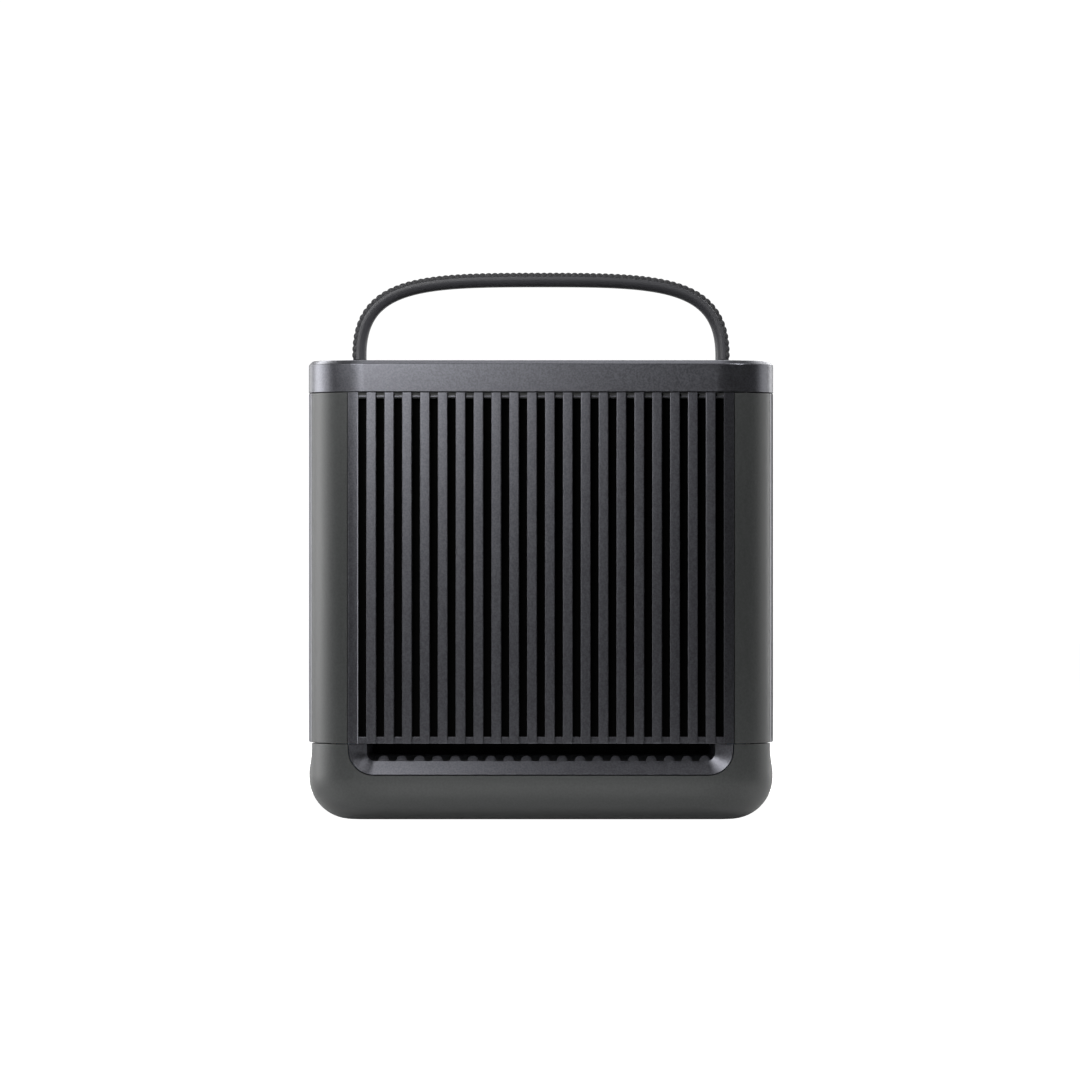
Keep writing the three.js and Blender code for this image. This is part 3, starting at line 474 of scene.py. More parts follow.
def cylinder_mesh(x, y, radius, z0, z1, segments=40):
    bm = bmesh.new()
    circle = arc(x, y, radius, 0, 360, segments)[:-1]
    loft(bm, [[(px, py, z0) for px, py in circle], [(px, py, z1) for px, py in circle]])
    return bm


def column_frame():
    """Four rounded corner columns, joined by flanges behind the grilles."""
    bottom = column_low.z
    top = column_high.z
    edge = 0.4
    profile = [
        (edge, bottom),
        (0.1, bottom + 0.1),
        (0, bottom + edge),
        (0, top - edge),
        (0.1, top - 0.1),
        (edge, top),
        (FRAME_WALL, top),
        (FRAME_WALL, bottom),
    ]
    bm = bmesh.new()
    loops = [plan_loop(BODY_HALF_W, BODY_HALF_D, CORNER_R, inset, z, 20) for inset, z in profile]
    loft(bm, loops, closed=True)
    piece = new_piece("corner_columns", bm, "shell_plastic", nodes=["mid_frame"])
    cutters = []
    rear = (FRONT_HALF, HALF_D, 180)
    for half, distance, degrees in (*FACES, rear):
        seat = -distance + PLATE + GAP
        recess = box_mesh(
            (-half - GAP, -distance - 5, bottom - 5), (half + GAP, seat, top + 5)
        )
        opening_half = half - RAIL + GAP
        sill = bottom + 6.3 if degrees == 180 else bottom - 5
        opening = box_mesh(
            (-opening_half, -distance - 5, sill), (opening_half, -distance + 14, top - 2.9)
        )
        for cutter in (recess, opening):
            turn(cutter, degrees)
            cutters.append(cutter)
    cut_away(piece, cutters)
    return piece


def cap_ring():
    """Satin ring with a chamfered upper edge, and a ledge inside for the deck."""
    soft = 0.25
    step = CAP_CHAMFER
    tray_floor = deck_low.z - GAP
    ledge = CAP_WALL + 4
    profile = [
        (soft, CAP_BOTTOM),
        (0.05, CAP_BOTTOM + 0.1),
        (0, CAP_BOTTOM + soft),
        (0, CAP_TOP - step - soft),
        (0.06, CAP_TOP - step),
        (soft, CAP_TOP - step + soft),
        (step - soft, CAP_TOP - soft),
        (step, CAP_TOP - 0.06),
        (step + soft, CAP_TOP),
        (CAP_WALL - 0.6, CAP_TOP),
        (CAP_WALL - 0.18, CAP_TOP - 0.18),
        (CAP_WALL, CAP_TOP - 0.6),
        (CAP_WALL, tray_floor),
        (ledge, tray_floor),
        (ledge, CAP_BOTTOM),
    ]
    bm = bmesh.new()
    radius = CORNER_R + BODY_INSET
    loops = [plan_loop(HALF_W, HALF_D, radius, inset, z, 24) for inset, z in profile]
    loft(bm, loops, closed=True)
    return new_piece("cap_ring", bm, "satin_metal", nodes=["top_cap"], sharp=24)


def tray_deck():
    """Floor of the tray: a textured panel with a shallow raised border."""
    inset = CAP_WALL + GAP
    border = 7.0
    top = deck_high.z
    bottom = deck_low.z
    sink = 0.7
    profile = [
        (inset, bottom),
        (inset, top - 0.4),
        (inset + 0.12, top - 0.12),
        (inset + 0.4, top),
        (inset + border, top),
        (inset + border + 0.5, top - 0.15),
        (inset + border + 1.2, top - sink),
    ]
    bm = bmesh.new()
    radius = CORNER_R + BODY_INSET
    loops = [plan_loop(HALF_W, HALF_D, radius, offset, z, 16) for offset, z in profile]
    loft(bm, loops)
    piece = new_piece("tray_deck", bm, "black_plastic", nodes=["top_deck"])
    return piece


# ---- Grilles ---------------------------------------------------------------------------


def case_depth(across, along_half):
    """How far behind a face's own plane the case's surface lies, at a distance across it."""
    beyond = max(abs(across) - (along_half - CORNER_R), 0)
    return BODY_INSET + CORNER_R - math.sqrt(CORNER_R**2 - beyond**2)


def lip_sections(half, along_half, duct_end):
    """Cross-sections of the sloped lip, one for each point along its U-shaped path."""
    thick = 1.6
    side = 9.6
    bottom = 7.4
    rise = (duct_end - LIP_DEPTH) * DUCT_SLOPE
    inner_r = 4.4
    steps = 16
    lip_top = BASE_TOP

    def path(side_in, bottom_in, radius):
        edge = half - side_in
        low = LIP_BOTTOM + bottom_in
        left = arc(-edge + radius, low + radius, radius, 180, 270, steps)
        right = arc(edge - radius, low + radius, radius, 270, 360, steps)
        shoulder = low + radius + 1.5
        return [
            (-edge, lip_top),
            (-edge, shoulder),
            *left,
            (0, low),
            *right,
            (edge, shoulder),
            (edge, lip_top),
        ]

    rim = LIP_INSET
    soft = rim + 0.35
    outer = path(rim, rim, SCOOP_R - rim)
    outer_soft = path(soft, soft, SCOOP_R - soft)
    halfway = [((a[0] + b[0]) / 2, (a[1] + b[1]) / 2) for a, b in zip(outer, outer_soft)]
    mouth = path(side, bottom, inner_r)
    duct = path(side + rise, bottom + rise, max(inner_r - rise, 1.2))
    duct_back = path(side + rise - thick, bottom + rise - thick, inner_r)
    mouth_back = path(side - thick, bottom - thick, inner_r + thick)
    heel = path(rim + 1.0, rim + 1.0, SCOOP_R - rim - 1.0)
    flush = [case_depth(x, along_half) for x, _ in outer]
    layers = [
        (outer_soft, flush),
        (mouth, [LIP_DEPTH] * len(outer)),
        (duct, [duct_end] * len(outer)),
        (duct_back, [duct_end] * len(outer)),
        (mouth_back, [LIP_DEPTH + thick / 2] * len(outer)),
        (heel, [depth + 2.4 for depth in flush]),
        (outer, [depth + 1.6 for depth in flush]),
        (outer, [depth + 0.35 for depth in flush]),
        (halfway, [depth + 0.1 for depth in flush]),
    ]
    return [
        [(line[i][0], depths[i], line[i][1]) for line, depths in layers]
        for i in range(len(outer))
    ]


def side_rail(bm, side, half, along_half, bottom):
    """The upright at a side of the plate, whose face follows the round corner of the case."""
    field = half - RAIL
    steps = 8
    plan = [(field, RAIL_EDGE)]
    for i in range(steps + 1):
        across = field + RAIL_EDGE + (RAIL - 2 * RAIL_EDGE) * i / steps
        plan.append((across, case_depth(across, along_half)))
    plan.append((half, case_depth(half, along_half) + RAIL_EDGE))
    plan.append((half, PLATE))
    plan.append((field, PLATE))
    loft(bm, [[(side * x, y, z) for x, y in plan] for z in (bottom, PLATE_TOP)])


def tooth(bm, x):
    """A domed pad under a slot, at the inner edge of the lip."""
    half_x = 2.9
    low = LIP_BOTTOM + 6.9
    rise = 3.2
    run = 3.0
    front = LIP_DEPTH - 0.3
    steps = 10
    loops = []
    for i in range(steps + 1):
        along = -1 + 2 * i / steps
        height = 0.15 + 0.85 * math.sqrt(max(1 - along * along, 0))
        back = front + run * height
        top = low + rise * height
        section = ((front, low), (back, top), (back + 0.6, top), (back + 0.6, low - 1), (front, low - 1))
        loops.append([(x + along * half_x, y, z) for y, z in section])
    loft(bm, loops)


def grille(name, half, distance, along_half, degrees, fins, duct_end, node):
    """Side rails, recessed cross rails, upright fins and the lip of the intake."""
    bm = bmesh.new()
    fin_bottom = BASE_TOP + 0.35
    field = half - RAIL
    for side in (-1, 1):
        side_rail(bm, side, half, along_half, fin_bottom)
    lower = 2.2
    upper = 2.6
    inner = field + 1
    bevelled_box(bm, (-inner, lower, fin_bottom), (inner, PLATE, fin_bottom + LOWER_RAIL), 0.25)
    bar_low = PLATE_TOP - UPPER_RAIL + GAP
    bevelled_box(bm, (-inner, upper, bar_low + 0.4), (inner, PLATE, bar_low + 1.3), 0.2)
    for index in range(fins):
        x = (index - (fins - 1) / 2) * FIN_PITCH
        low = (x - FIN_WIDTH / 2, 0, fin_bottom)
        high = (x + FIN_WIDTH / 2, PLATE - 0.1, PLATE_TOP)
        bevelled_box(bm, low, high, FIN_EDGE)
        rib_half = FIN_WIDTH / 2 - 0.4
        bevelled_box(
            bm,
            (x - rib_half, PLATE - 0.6, fin_bottom + 7),
            (x + rib_half, PLATE + 2.2, PLATE_TOP - 7),
            0.3,
            1,
        )
    for index in range(fins + 1):
        tooth(bm, (index - fins / 2) * FIN_PITCH + PAD_SHIFT)
    strip_loft(bm, lip_sections(half, along_half, duct_end))
    bmesh.ops.translate(bm, vec=(0, -distance, 0), verts=bm.verts)
    turn(bm, degrees)
    return new_piece(name, bm, "satin_metal", nodes=[node], sharp=28)


# ---- Handle ----------------------------------------------------------------------------

PIVOT_Z = next(j["pos_m"][2] for j in frame["joints"] if j["name"] == "handle_hinge") / MM
HALF_THICK = 3.6
LEG_X = pad_high.x - HALF_THICK
ARCH_START = 6.1
RUBBER = 1.9
BOSS_R = 5.6


def bezier(points, t):
    """A point in x and z on a cubic curve."""
    a, b, c, d = points
    u = 1 - t
    return tuple(
        u**3 * a[k] + 3 * u * u * t * b[k] + 3 * u * t * t * c[k] + t**3 * d[k] for k in range(2)
    )


def handle_line():
    """The bail's centre line in x and z, from one foot over the arch to the other."""
    shoulder = PIVOT_Z + 8.4
    crown = pad_high.z - HALF_THICK
    half = [(LEG_X, shoulder), (LEG_X, crown - 0.7), (0.65 * LEG_X, crown), (0, crown)]
    dense = []
    for i in range(401):
        x, z = bezier(half, i / 400)
        dense.append((x, z))
    right = [(LEG_X, PIVOT_Z + ARCH_START), *dense]
    left = [(-x, z) for x, z in right]
    return left[:-1] + right[::-1]


def resample(line, spacing):
    """Points at even spacing on a polyline, each with its tangent and distance."""
    lengths = [0.0]
    for a, b in zip(line, line[1:]):
        lengths.append(lengths[-1] + math.dist(a, b))
    total = lengths[-1]
    count = max(2, round(total / spacing))
    result = []
    segment = 0
    for i in range(count + 1):
        target = total * i / count
        while segment < len(line) - 2 and lengths[segment + 1] < target:
            segment += 1
        span = lengths[segment + 1] - lengths[segment]
        t = 0.0 if span == 0 else (target - lengths[segment]) / span
        a, b = line[segment], line[segment + 1]
        point = (a[0] + (b[0] - a[0]) * t, a[1] + (b[1] - a[1]) * t)
        before = line[max(segment - 2, 0)]
        after = line[min(segment + 3, len(line) - 1)]
        length = math.dist(before, after)
        tangent = ((after[0] - before[0]) / length, (after[1] - before[1]) / length)
        result.append((point, tangent, target))
    return result, total


def sweep(bm, line, section_at, spacing):
    """Sweeps a section, given as (across, outward) points, along the bail."""
    stations, total = resample(line, spacing)
    loops = []
    for (x, z), (tx, tz), distance in stations:
        nx, nz = -tz, tx
        loops.append(
            [(x + nx * out, across, z + nz * out) for across, out in section_at(distance, total)]
        )
    loft(bm, loops)


def bar_section(half_y, low, high, low_r, high_r, steps=5):
    """A bar's section: across the handle, then outwards, with its own radius at each face."""
    points = arc(half_y - low_r, low + low_r, low_r, -90, 0, steps)
    points += arc(half_y - high_r, high - high_r, high_r, 0, 90, steps)
    points += arc(-half_y + high_r, high - high_r, high_r, 90, 180, steps)
    points += arc(-half_y + low_r, low + low_r, low_r, 180, 270, steps)
    return points


def boss(bm, side):
    """The eye at a foot of the bail, with the neck that joins it to the arch."""
    boss_half = HALF_THICK - 0.4
    soft = 0.6
    x = side * LEG_X
    circle = arc(0, PIVOT_Z, BOSS_R, 0, 360, 40)[:-1]
    ends = [(-boss_half, soft), (-boss_half + soft, 0), (boss_half - soft, 0), (boss_half, soft)]
    loops = []
    for along, shrink in ends:
        factor = (BOSS_R - shrink) / BOSS_R
        loops.append([(x + along, y * factor, PIVOT_Z + (z - PIVOT_Z) * factor) for y, z in circle])
    loft(bm, loops)
    low = (x - boss_half, -BOSS_R, PIVOT_Z)
    high = (x + boss_half, BOSS_R, PIVOT_Z + ARCH_START + 1)
    bevelled_box(bm, low, high, 0.8)


def handle_body():
    bm = bmesh.new()
    section = bar_section(8.0, -HALF_THICK, HALF_THICK - RUBBER, 3.9, 0.5, 9)
    sweep(bm, handle_line(), lambda distance, total: section, 2.0)
    for side in (-1, 1):
        boss(bm, side)
    return new_piece("handle_bail", bm, "handle_plastic", "handle", ["handle_arch"])


def handle_ribs():
    """Grip strip round the outside of the bail, with a rounded rib every few millimetres."""
    bm = bmesh.new()
    low = HALF_THICK - RUBBER - 0.3
    rib_pitch = 3.22
    rib_height = 0.65
    margin = 0.6

    def section(distance, total):
        count = round((total - 2 * margin) / rib_pitch)
        phase = (distance - margin) * count / (total - 2 * margin)
        inside = margin < distance < total - margin
        wave = abs(math.sin(math.pi * phase)) ** 0.7 if inside else 0.0
        high = HALF_THICK - rib_height * (1 - wave)
        return bar_section(7.6 + 0.35 * wave, low, high, 0.3, 0.6, 3)

    sweep(bm, handle_line(), section, rib_pitch / 8)
    nodes = ["handle_grip_pad"]
    return new_piece("handle_ribbed_pad", bm, "rubber", "handle", nodes, sharp=50)


# ---- Control and socket panel ------------------------------------------------------------

PANEL_WALL = 2.4
INSERT_RIM = 2.4
SOFT = 0.35
BUTTON_BODIES = {"power_button": "power_key", "dc_button": "dc_key", "ac_button": "ac_key"}
INSERTS = {
    "ac_outlet_upper": 4,
    "ac_outlet_lower": 4,
    "port_block": 3,
    "car_socket": 15,
    "charge_inlet": 3,
}


def oval(cx, cz, half_x, half_z, radius, y, steps=8):
    """A rounded rectangle standing in the x-z plane at one depth."""
    outline = rounded_rect(half_x, half_z, min(radius, half_x, half_z), steps)
    return [(cx + x, y, cz + z) for x, z in outline]


def disc(cx, cz, radius, y, segments=56):
    return oval(cx, cz, radius, radius, radius, y, segments // 4)


def face_of(node):
    """Middle, half sizes and depth range of a node on the rear face."""
    low, high = node_box(node)
    middle = (low + high) / 2
    half = (high - low) / 2
    return middle.x, middle.z, half.x, half.z, low.y, high.y


def rounded_slab(bm, cx, cz, half_x, half_z, radius, back, front):
    """A plate with a softened edge on its outer face."""
    steps = ((0, back), (0, front - SOFT), (SOFT * 0.3, front - SOFT * 0.3), (SOFT, front))
    loops = [oval(cx, cz, half_x - i, half_z - i, max(radius - i, 0.1), y) for i, y in steps]
    loft(bm, loops)


def prism(cx, cz, half_x, half_z, radius, back, front, flare=0.0):
    """A cutter for an opening, wider by the flare where it meets the face."""
    bm = bmesh.new()
    loops = [oval(cx, cz, half_x, half_z, radius, back)]
    if flare:
        loops.append(oval(cx, cz, half_x, half_z, radius, front - flare))
        loops.append(oval(cx, cz, half_x + flare, half_z + flare, radius + flare, front))
    wide = half_x + flare, half_z + flare, radius + flare
    loops.append(oval(cx, cz, *wide, front + 4))
    loft(bm, loops)
    return bm


def groove(cx, cz, half_x, half_z, face, depth=0.3, width=0.7):
    """A cutter for a thin line round a group of sockets."""
    bm = bmesh.new()
    radius = 7
    wide = (half_x, half_z, radius)
    narrow = (half_x - width, half_z - width, radius - width)
    loops = [
        oval(cx, cz, *wide, face - depth),
        oval(cx, cz, *wide, face + 1),
        oval(cx, cz, *narrow, face + 1),
        oval(cx, cz, *narrow, face - depth),
    ]
    loft(bm, loops, closed=True)
    return bm


def rear_panel():
    """Dished panel with an opening for every control and socket."""
    low, high = node_box("rear_panel")
    seat = HALF_D - PLATE
    face = low.y + PANEL_WALL
    rim = high.y
    dish = (low.z + 6.6, high.z - 3.2)
    border_z = (low.z + high.z) / 2
    border_half_z = (high.z - low.z) / 2
    dish_z = (dish[0] + dish[1]) / 2
    dish_half = (FRONT_HALF - RAIL, (dish[1] - dish[0]) / 2)

    def border(inset, y):
        return oval(0, border_z, FRONT_HALF - inset, border_half_z - inset, 0.8, y)

    def hollow(inset, y):
        inside = PANEL_WALL + inset
        return oval(0, dish_z, dish_half[0] - inside, dish_half[1] - inside, 6 - inset, y)

    loops = [oval(0, dish_z, *dish_half, 6, low.y), oval(0, dish_z, *dish_half, 6, seat)]
    loops += [border(0, seat), border(0, rim - 0.4), border(0.12, rim - 0.12), border(0.4, rim)]
    loops += [hollow(-0.4, rim), hollow(-0.12, rim - 0.12), hollow(0, rim - 0.4)]
    loops += [hollow(0, face + 0.8), hollow(0.24, face + 0.24), hollow(0.8, face)]
    bm = bmesh.new()
    loft(bm, loops)
    nodes = ["rear_panel"]
    piece = new_piece("control_panel", bm, "black_plastic", nodes=nodes)
    behind = low.y - 1
    cutters = []
    for node in BUTTON_BODIES:
        x, z, half, _, _, _ = face_of(node)
        radius = half - 1.5 + GAP
        cutters.append(prism(x, z, radius, radius, radius, behind, face, 0.4))
    for node, corner in INSERTS.items():
        x, z, half_x, half_z, _, _ = face_of(node)
        shrink = INSERT_RIM - GAP
        cutters.append(prism(x, z, half_x - shrink, half_z - shrink, corner, behind, face))
    x, z, half_x, half_z, _, _ = face_of("display_window")
    cutters.append(prism(x, z, half_x - 2, half_z - 2, 2, behind, face))
    ac_x = face_of("ac_button")[0]
    cutters.append(groove(ac_x, dish_z - 23.5, 25.5, 54, face))
    dc_x = (face_of("port_block")[0] + face_of("car_socket")[0]) / 2
    cutters.append(groove(dc_x - 1, dish_z - 14, 48, 44.5, face))
    cut_away(piece, cutters)
    return piece


def display():
    bm = bmesh.new()
    x, z, half_x, half_z, back, front = face_of("display_window")
    rounded_slab(bm, x, z, half_x, half_z, 3, back, front)
    nodes = ["display_window"]
    return new_piece("display_glass_plate", bm, "display_glass", nodes=nodes)


def button(node, body):
    """Round key with a hollowed face and a fine ring cut into it."""
    x, z, half, _, back, front = face_of(node)
    radius = half - 1.5
    profile = [(half, back), (half, back + 1.6), (radius, back + 1.6), (radius, front - 0.5)]
    profile += [(radius - 0.15, front - 0.15), (radius - 0.5, front), (radius - 1, front - 0.06)]
    hollow = 0.45
    ring = 0.52 * radius

    def sunk(r):
        return front - 0.06 - hollow * (1 - (r / (radius - 1)) ** 2)

    for share in (0.85, 0.7):
        r = share * radius
        profile.append((r, sunk(r)))
    for r, depth in ((ring + 0.3, 0), (ring + 0.2, 0.25), (ring - 0.2, 0.25), (ring - 0.3, 0)):
        profile.append((r, sunk(r) - depth))
    for share in (0.3, 0.1):
        r = share * radius
        profile.append((r, sunk(r)))
    bm = bmesh.new()
    loft(bm, [disc(x, z, r, y) for r, y in profile])
    name = node.replace("button", "key_cap")
    return new_piece(name, bm, "button_plastic", body, [node], sharp=35)


def insert_body(bm, node, corner):
    """A socket's body, its flange and the shallow recess in its face."""
    x, z, half_x, half_z, back, front = face_of(node)
    flange_back = node_box("display_window")[0].y
    core_x = half_x - INSERT_RIM
    core_z = half_z - INSERT_RIM
    recess = 0.6
    edge = min(corner + 1, half_x)
    loops = [
        oval(x, z, core_x, core_z, corner, back),
        oval(x, z, core_x, core_z, corner, flange_back),
        oval(x, z, half_x, half_z, edge, flange_back),
        oval(x, z, half_x, half_z, edge, front - SOFT),
        oval(x, z, half_x - 0.1, half_z - 0.1, edge, front - 0.1),
        oval(x, z, half_x - SOFT, half_z - SOFT, edge, front),
        oval(x, z, core_x + 0.3, core_z + 0.3, corner, front),
        oval(x, z, core_x + 0.1, core_z + 0.1, corner, front - 0.1),
        oval(x, z, core_x, core_z, corner, front - recess),
    ]
    loft(bm, loops)
    return x, z, front, front - recess


def tube(bm, cx, cz, half_x, half_z, radius, wall, back, front):
    """A thin metal lining inside an opening."""
    outer = (half_x, half_z, radius)
    inner = (half_x - wall, half_z - wall, max(radius - wall, 0.1))
    loops = [
        oval(cx, cz, *outer, back),
        oval(cx, cz, *outer, front),
        oval(cx, cz, *inner, front),
        oval(cx, cz, *inner, back),
    ]
    loft(bm, loops, closed=True)


def ac_outlet(node):
    """Two blade slots over a round earth hole, with contacts inside them."""
    bm = bmesh.new()
    x, z, front, face = insert_body(bm, node, 4)
    piece = new_piece(f"{node}_insert", bm, "socket_plastic", nodes=[node])
    depth = 15
    blade_x = 6.4
    contacts = bmesh.new()
    cutters = [prism(x, z - 8, 2.6, 2.6, 2.6, front - depth, face, 0.4)]
    for side in (-1, 1):
        sx = x + side * blade_x
        cutters.append(prism(sx, z + 2, 1.0, 4.0, 0.3, front - depth, face, 0.35))
        low = (sx - 0.8, front - depth + 0.3, z - 1.5)
        high = (sx - 0.3, face - 3.5, z + 5.5)
        bevelled_box(contacts, low, high, 0.1, 1)
    tube(contacts, x, z - 8, 2.5, 2.5, 2.5, 0.35, front - depth + 0.3, face - 3.5)
    cut_away(piece, cutters)
    new_piece(f"{node}_contacts", contacts, "brass_contact")
    return piece


def port_block():
    """Two wide and two small ports with metal linings, over two round jacks."""
    bm = bmesh.new()
    cx, cz, front, face = insert_body(bm, "port_block", 3)
    nodes = ["port_block"]
    piece = new_piece("port_insert", bm, "socket_plastic", nodes=nodes)
    metal = bmesh.new()
    tongues = bmesh.new()
    cutters = []
    ports = ((11.5, 6.6, 2.8, 0.6, 12), (1.0, 4.6, 1.7, 1.6, 8), (-10.0, 3.4, 3.4, 3.4, 11))
    for side in (-1, 1):
        x = cx + side * 9.5
        for rise, half_x, half_z, radius, depth in ports:
            z = cz + rise
            back = front - depth
            cutters.append(prism(x, z, half_x, half_z, radius, back, face, 0.25))
            lining = (half_x - 0.05, half_z - 0.05, radius)
            tube(metal, x, z, *lining, 0.3, back + 0.2, face - 0.3)
        wide = (x - 5.5, front - 11.8, cz + 12.0)
        bevelled_box(tongues, wide, (x + 5.5, front - 2.2, cz + 13.2), 0.2, 2)
        small = (x - 3.2, front - 7.8, cz + 0.6)
        bevelled_box(tongues, small, (x + 3.2, front - 2.2, cz + 1.4), 0.2, 2)
        pin = [disc(x, cz - 10, 0.9, front - 10.8, 20), disc(x, cz - 10, 0.9, front - 2.6, 20)]
        loft(metal, [*pin, disc(x, cz - 10, 0.6, front - 2.3, 20)])
    cut_away(piece, cutters)
    new_piece("port_linings", metal, "steel")
    new_piece("port_tongues", tongues, "button_plastic")
    return piece


def car_socket():
    """Deep round socket with a metal lining and a sprung stud at its end."""
    x, z, half, _, back, front = face_of("car_socket")
    flange_back = node_box("display_window")[0].y
    core = half - INSERT_RIM
    bore = 10.6
    floor = back + 2
    profile = [(core, back), (core, flange_back), (half, flange_back), (half, front - SOFT)]
    profile += [(half - 0.1, front - 0.1), (half - SOFT, front), (bore + 0.5, front)]
    profile += [(bore + 0.15, front - 0.15), (bore, front - 0.5), (bore, floor)]
    bm = bmesh.new()
    loft(bm, [disc(x, z, r, y) for r, y in profile])
    nodes = ["car_socket"]
    piece = new_piece("car_socket_body", bm, "socket_plastic", nodes=nodes)
    metal = bmesh.new()
    wall = 0.3
    tube(metal, x, z, bore - 0.05, bore - 0.05, bore, wall, floor + 0.1, front - 4)
    stud = [(2.9, floor + 0.1), (2.9, floor + 3), (2.4, floor + 3.8), (1.2, floor + 4.4)]
    loft(metal, [disc(x, z, r, y, 32) for r, y in stud])
    new_piece("car_socket_lining", metal, "steel")
    return piece


def charge_inlet():
    """Inlet with two pins in a well."""
    bm = bmesh.new()
    x, z, front, face = insert_body(bm, "charge_inlet", 3)
    nodes = ["charge_inlet"]
    piece = new_piece("inlet_body", bm, "socket_plastic", nodes=nodes)
    half_x = face_of("charge_inlet")[2] - INSERT_RIM - 2
    half_z = face_of("charge_inlet")[3] - INSERT_RIM - 2
    cut_away(piece, [prism(x, z, half_x, half_z, 2, front - 10, face, 0.3)])
    pins = bmesh.new()
    for side in (-1, 1):
        px = x + side * 4.5
        ends = ((1.7, front - 9.9), (1.7, front - 2.8), (1.3, front - 2.2), (0.6, front - 2.0))
        loft(pins, [disc(px, z, r, y, 24) for r, y in ends])
    new_piece("inlet_pins", pins, "steel")
    return piece


def flap(node, body, corner):
    """Rubber cover with a raised border, a finger lip and a hinge barrel on top."""
    low, high = node_box(node)
    thick = 1.4
    barrel_r = 1.3
    rise = 2.6
    back = high.y - thick
    leaf_top = high.z - barrel_r - rise
    x = (low.x + high.x) / 2
    z = (low.z + leaf_top) / 2
    half_x = (high.x - low.x) / 2
    half_z = (leaf_top - low.z) / 2
    border = 1.8
    steps = [(0.3, back), (0.1, back + 0.1), (0, back + 0.3), (0, high.y - SOFT)]
    steps += [(0.1, high.y - 0.1), (SOFT, high.y), (border, high.y)]
    steps += [(border + 0.2, high.y - 0.06), (border + 0.45, high.y - 0.35)]
    bm = bmesh.new()
    loft(bm, [oval(x, z, half_x - i, half_z - i, max(corner - i, 0.3), y, 12) for i, y in steps])
    tab_half = 0.52 * half_x
    barrel_z = leaf_top + rise
    tab_low = (x - tab_half, back, leaf_top - 1)
    bevelled_box(bm, tab_low, (x + tab_half, high.y - 0.05, barrel_z), 0.2)
    barrel_y = high.y - barrel_r
    ends = ((-tab_half, 0.2), (-tab_half + 0.2, 0), (tab_half - 0.2, 0), (tab_half, 0.2))
    circle = arc(barrel_y, barrel_z, 1.0, 0, 360, 28)[:-1]
    loops = []
    for along, shrink in ends:
        scale = barrel_r - shrink
        ring = [(x + along, barrel_y + (y - barrel_y) * scale, barrel_z + (cz - barrel_z) * scale)
                for y, cz in circle]
        loops.append(ring)
    loft(bm, loops)
    lip_half = 0.3 * half_x
    grip_low = (x - lip_half, high.y - 0.5, low.z + border + 0.6)
    bevelled_box(bm, grip_low, (x + lip_half, high.y - 0.02, low.z + border + 1.7), 0.2)
    return new_piece(f"{node}_flap", bm, "rubber", body, [node], sharp=35)


def lamps():
    """A small light pipe beside each key."""
    bm = bmesh.new()
    face = node_box("rear_panel")[0].y + PANEL_WALL
    for node in BUTTON_BODIES:
        x, z, half, _, _, _ = face_of(node)
        z += half + 3.0
        steps = ((1.1, face - 0.4), (1.1, face + 0.1), (0.8, face + 0.3), (0.3, face + 0.36))
        loft(bm, [disc(x, z, r, y, 24) for r, y in steps])
    return new_piece("key_lamps", bm, "lamp_plastic")


def rear_face():
    rear_panel()
    display()
    lamps()
    for node, body in BUTTON_BODIES.items():
        button(node, body)
    ac_outlet("ac_outlet_upper")
    ac_outlet("ac_outlet_lower")
    port_block()
    car_socket()
    charge_inlet()
    flap("car_socket_cover", "car_flap", 13)
    flap("charge_inlet_cover", "inlet_flap", 4)


# ---- CAD nodes that keep their shape -----------------------------------------------------


def dress(node, material, width=0.3, segments=2):
    """Gives a CAD node a material, merges its flat facets and rounds its edges."""
    obj = frame["nodes"][node]
    obj.data.materials.clear()
    obj.data.materials.append(MATERIALS[material])
    merge = obj.modifiers.new("merge_flats", "DECIMATE")
    merge.decimate_type = "DISSOLVE"
    merge.angle_limit = math.radians(2)
    edge = obj.modifiers.new("soft_edges", "BEVEL")
    edge.width = width * MM
    edge.segments = segments
    edge.limit_method = "ANGLE"
    edge.angle_limit = math.radians(40)
    edge.harden_normals = True
    return obj


DRESSED = {
    "display_module": "black_plastic",
    "battery_tray": "black_plastic",
    "cell_retainer": "black_plastic",
    "bms_board": "circuit_board",
    "inner_shelf": "steel",
    "inverter_board": "circuit_board",
    "heat_sink": "aluminium",
    "control_board": "circuit_board",
}
PREFIXES = {
    "battery_cell_": "cell_case",
    # Dust screens get the near-black finish that is partly painted shade for the interior behind the
    # slots.
    "dust_screen_": "screen_black_painted_shade",
    "fan_frame_": "black_plastic",
    "fan_rotor_": "black_plastic",
    "foot_": "rubber",
    "base_screw_": "steel",
    "bracket_screw_": "steel",
    "handle_bracket_": "dark_steel",
    "handle_pin_": "dark_steel",
}


def dress_nodes():
    for node in sorted(frame["nodes"]):
        material = DRESSED.get(node)
        for prefix, choice in PREFIXES.items():
            if node.startswith(prefix):
                material = choice
        if material:
            dress(node, material)


# ---- Stage -----------------------------------------------------------------------------

FOCUS = Vector((0, 0, 0.14))

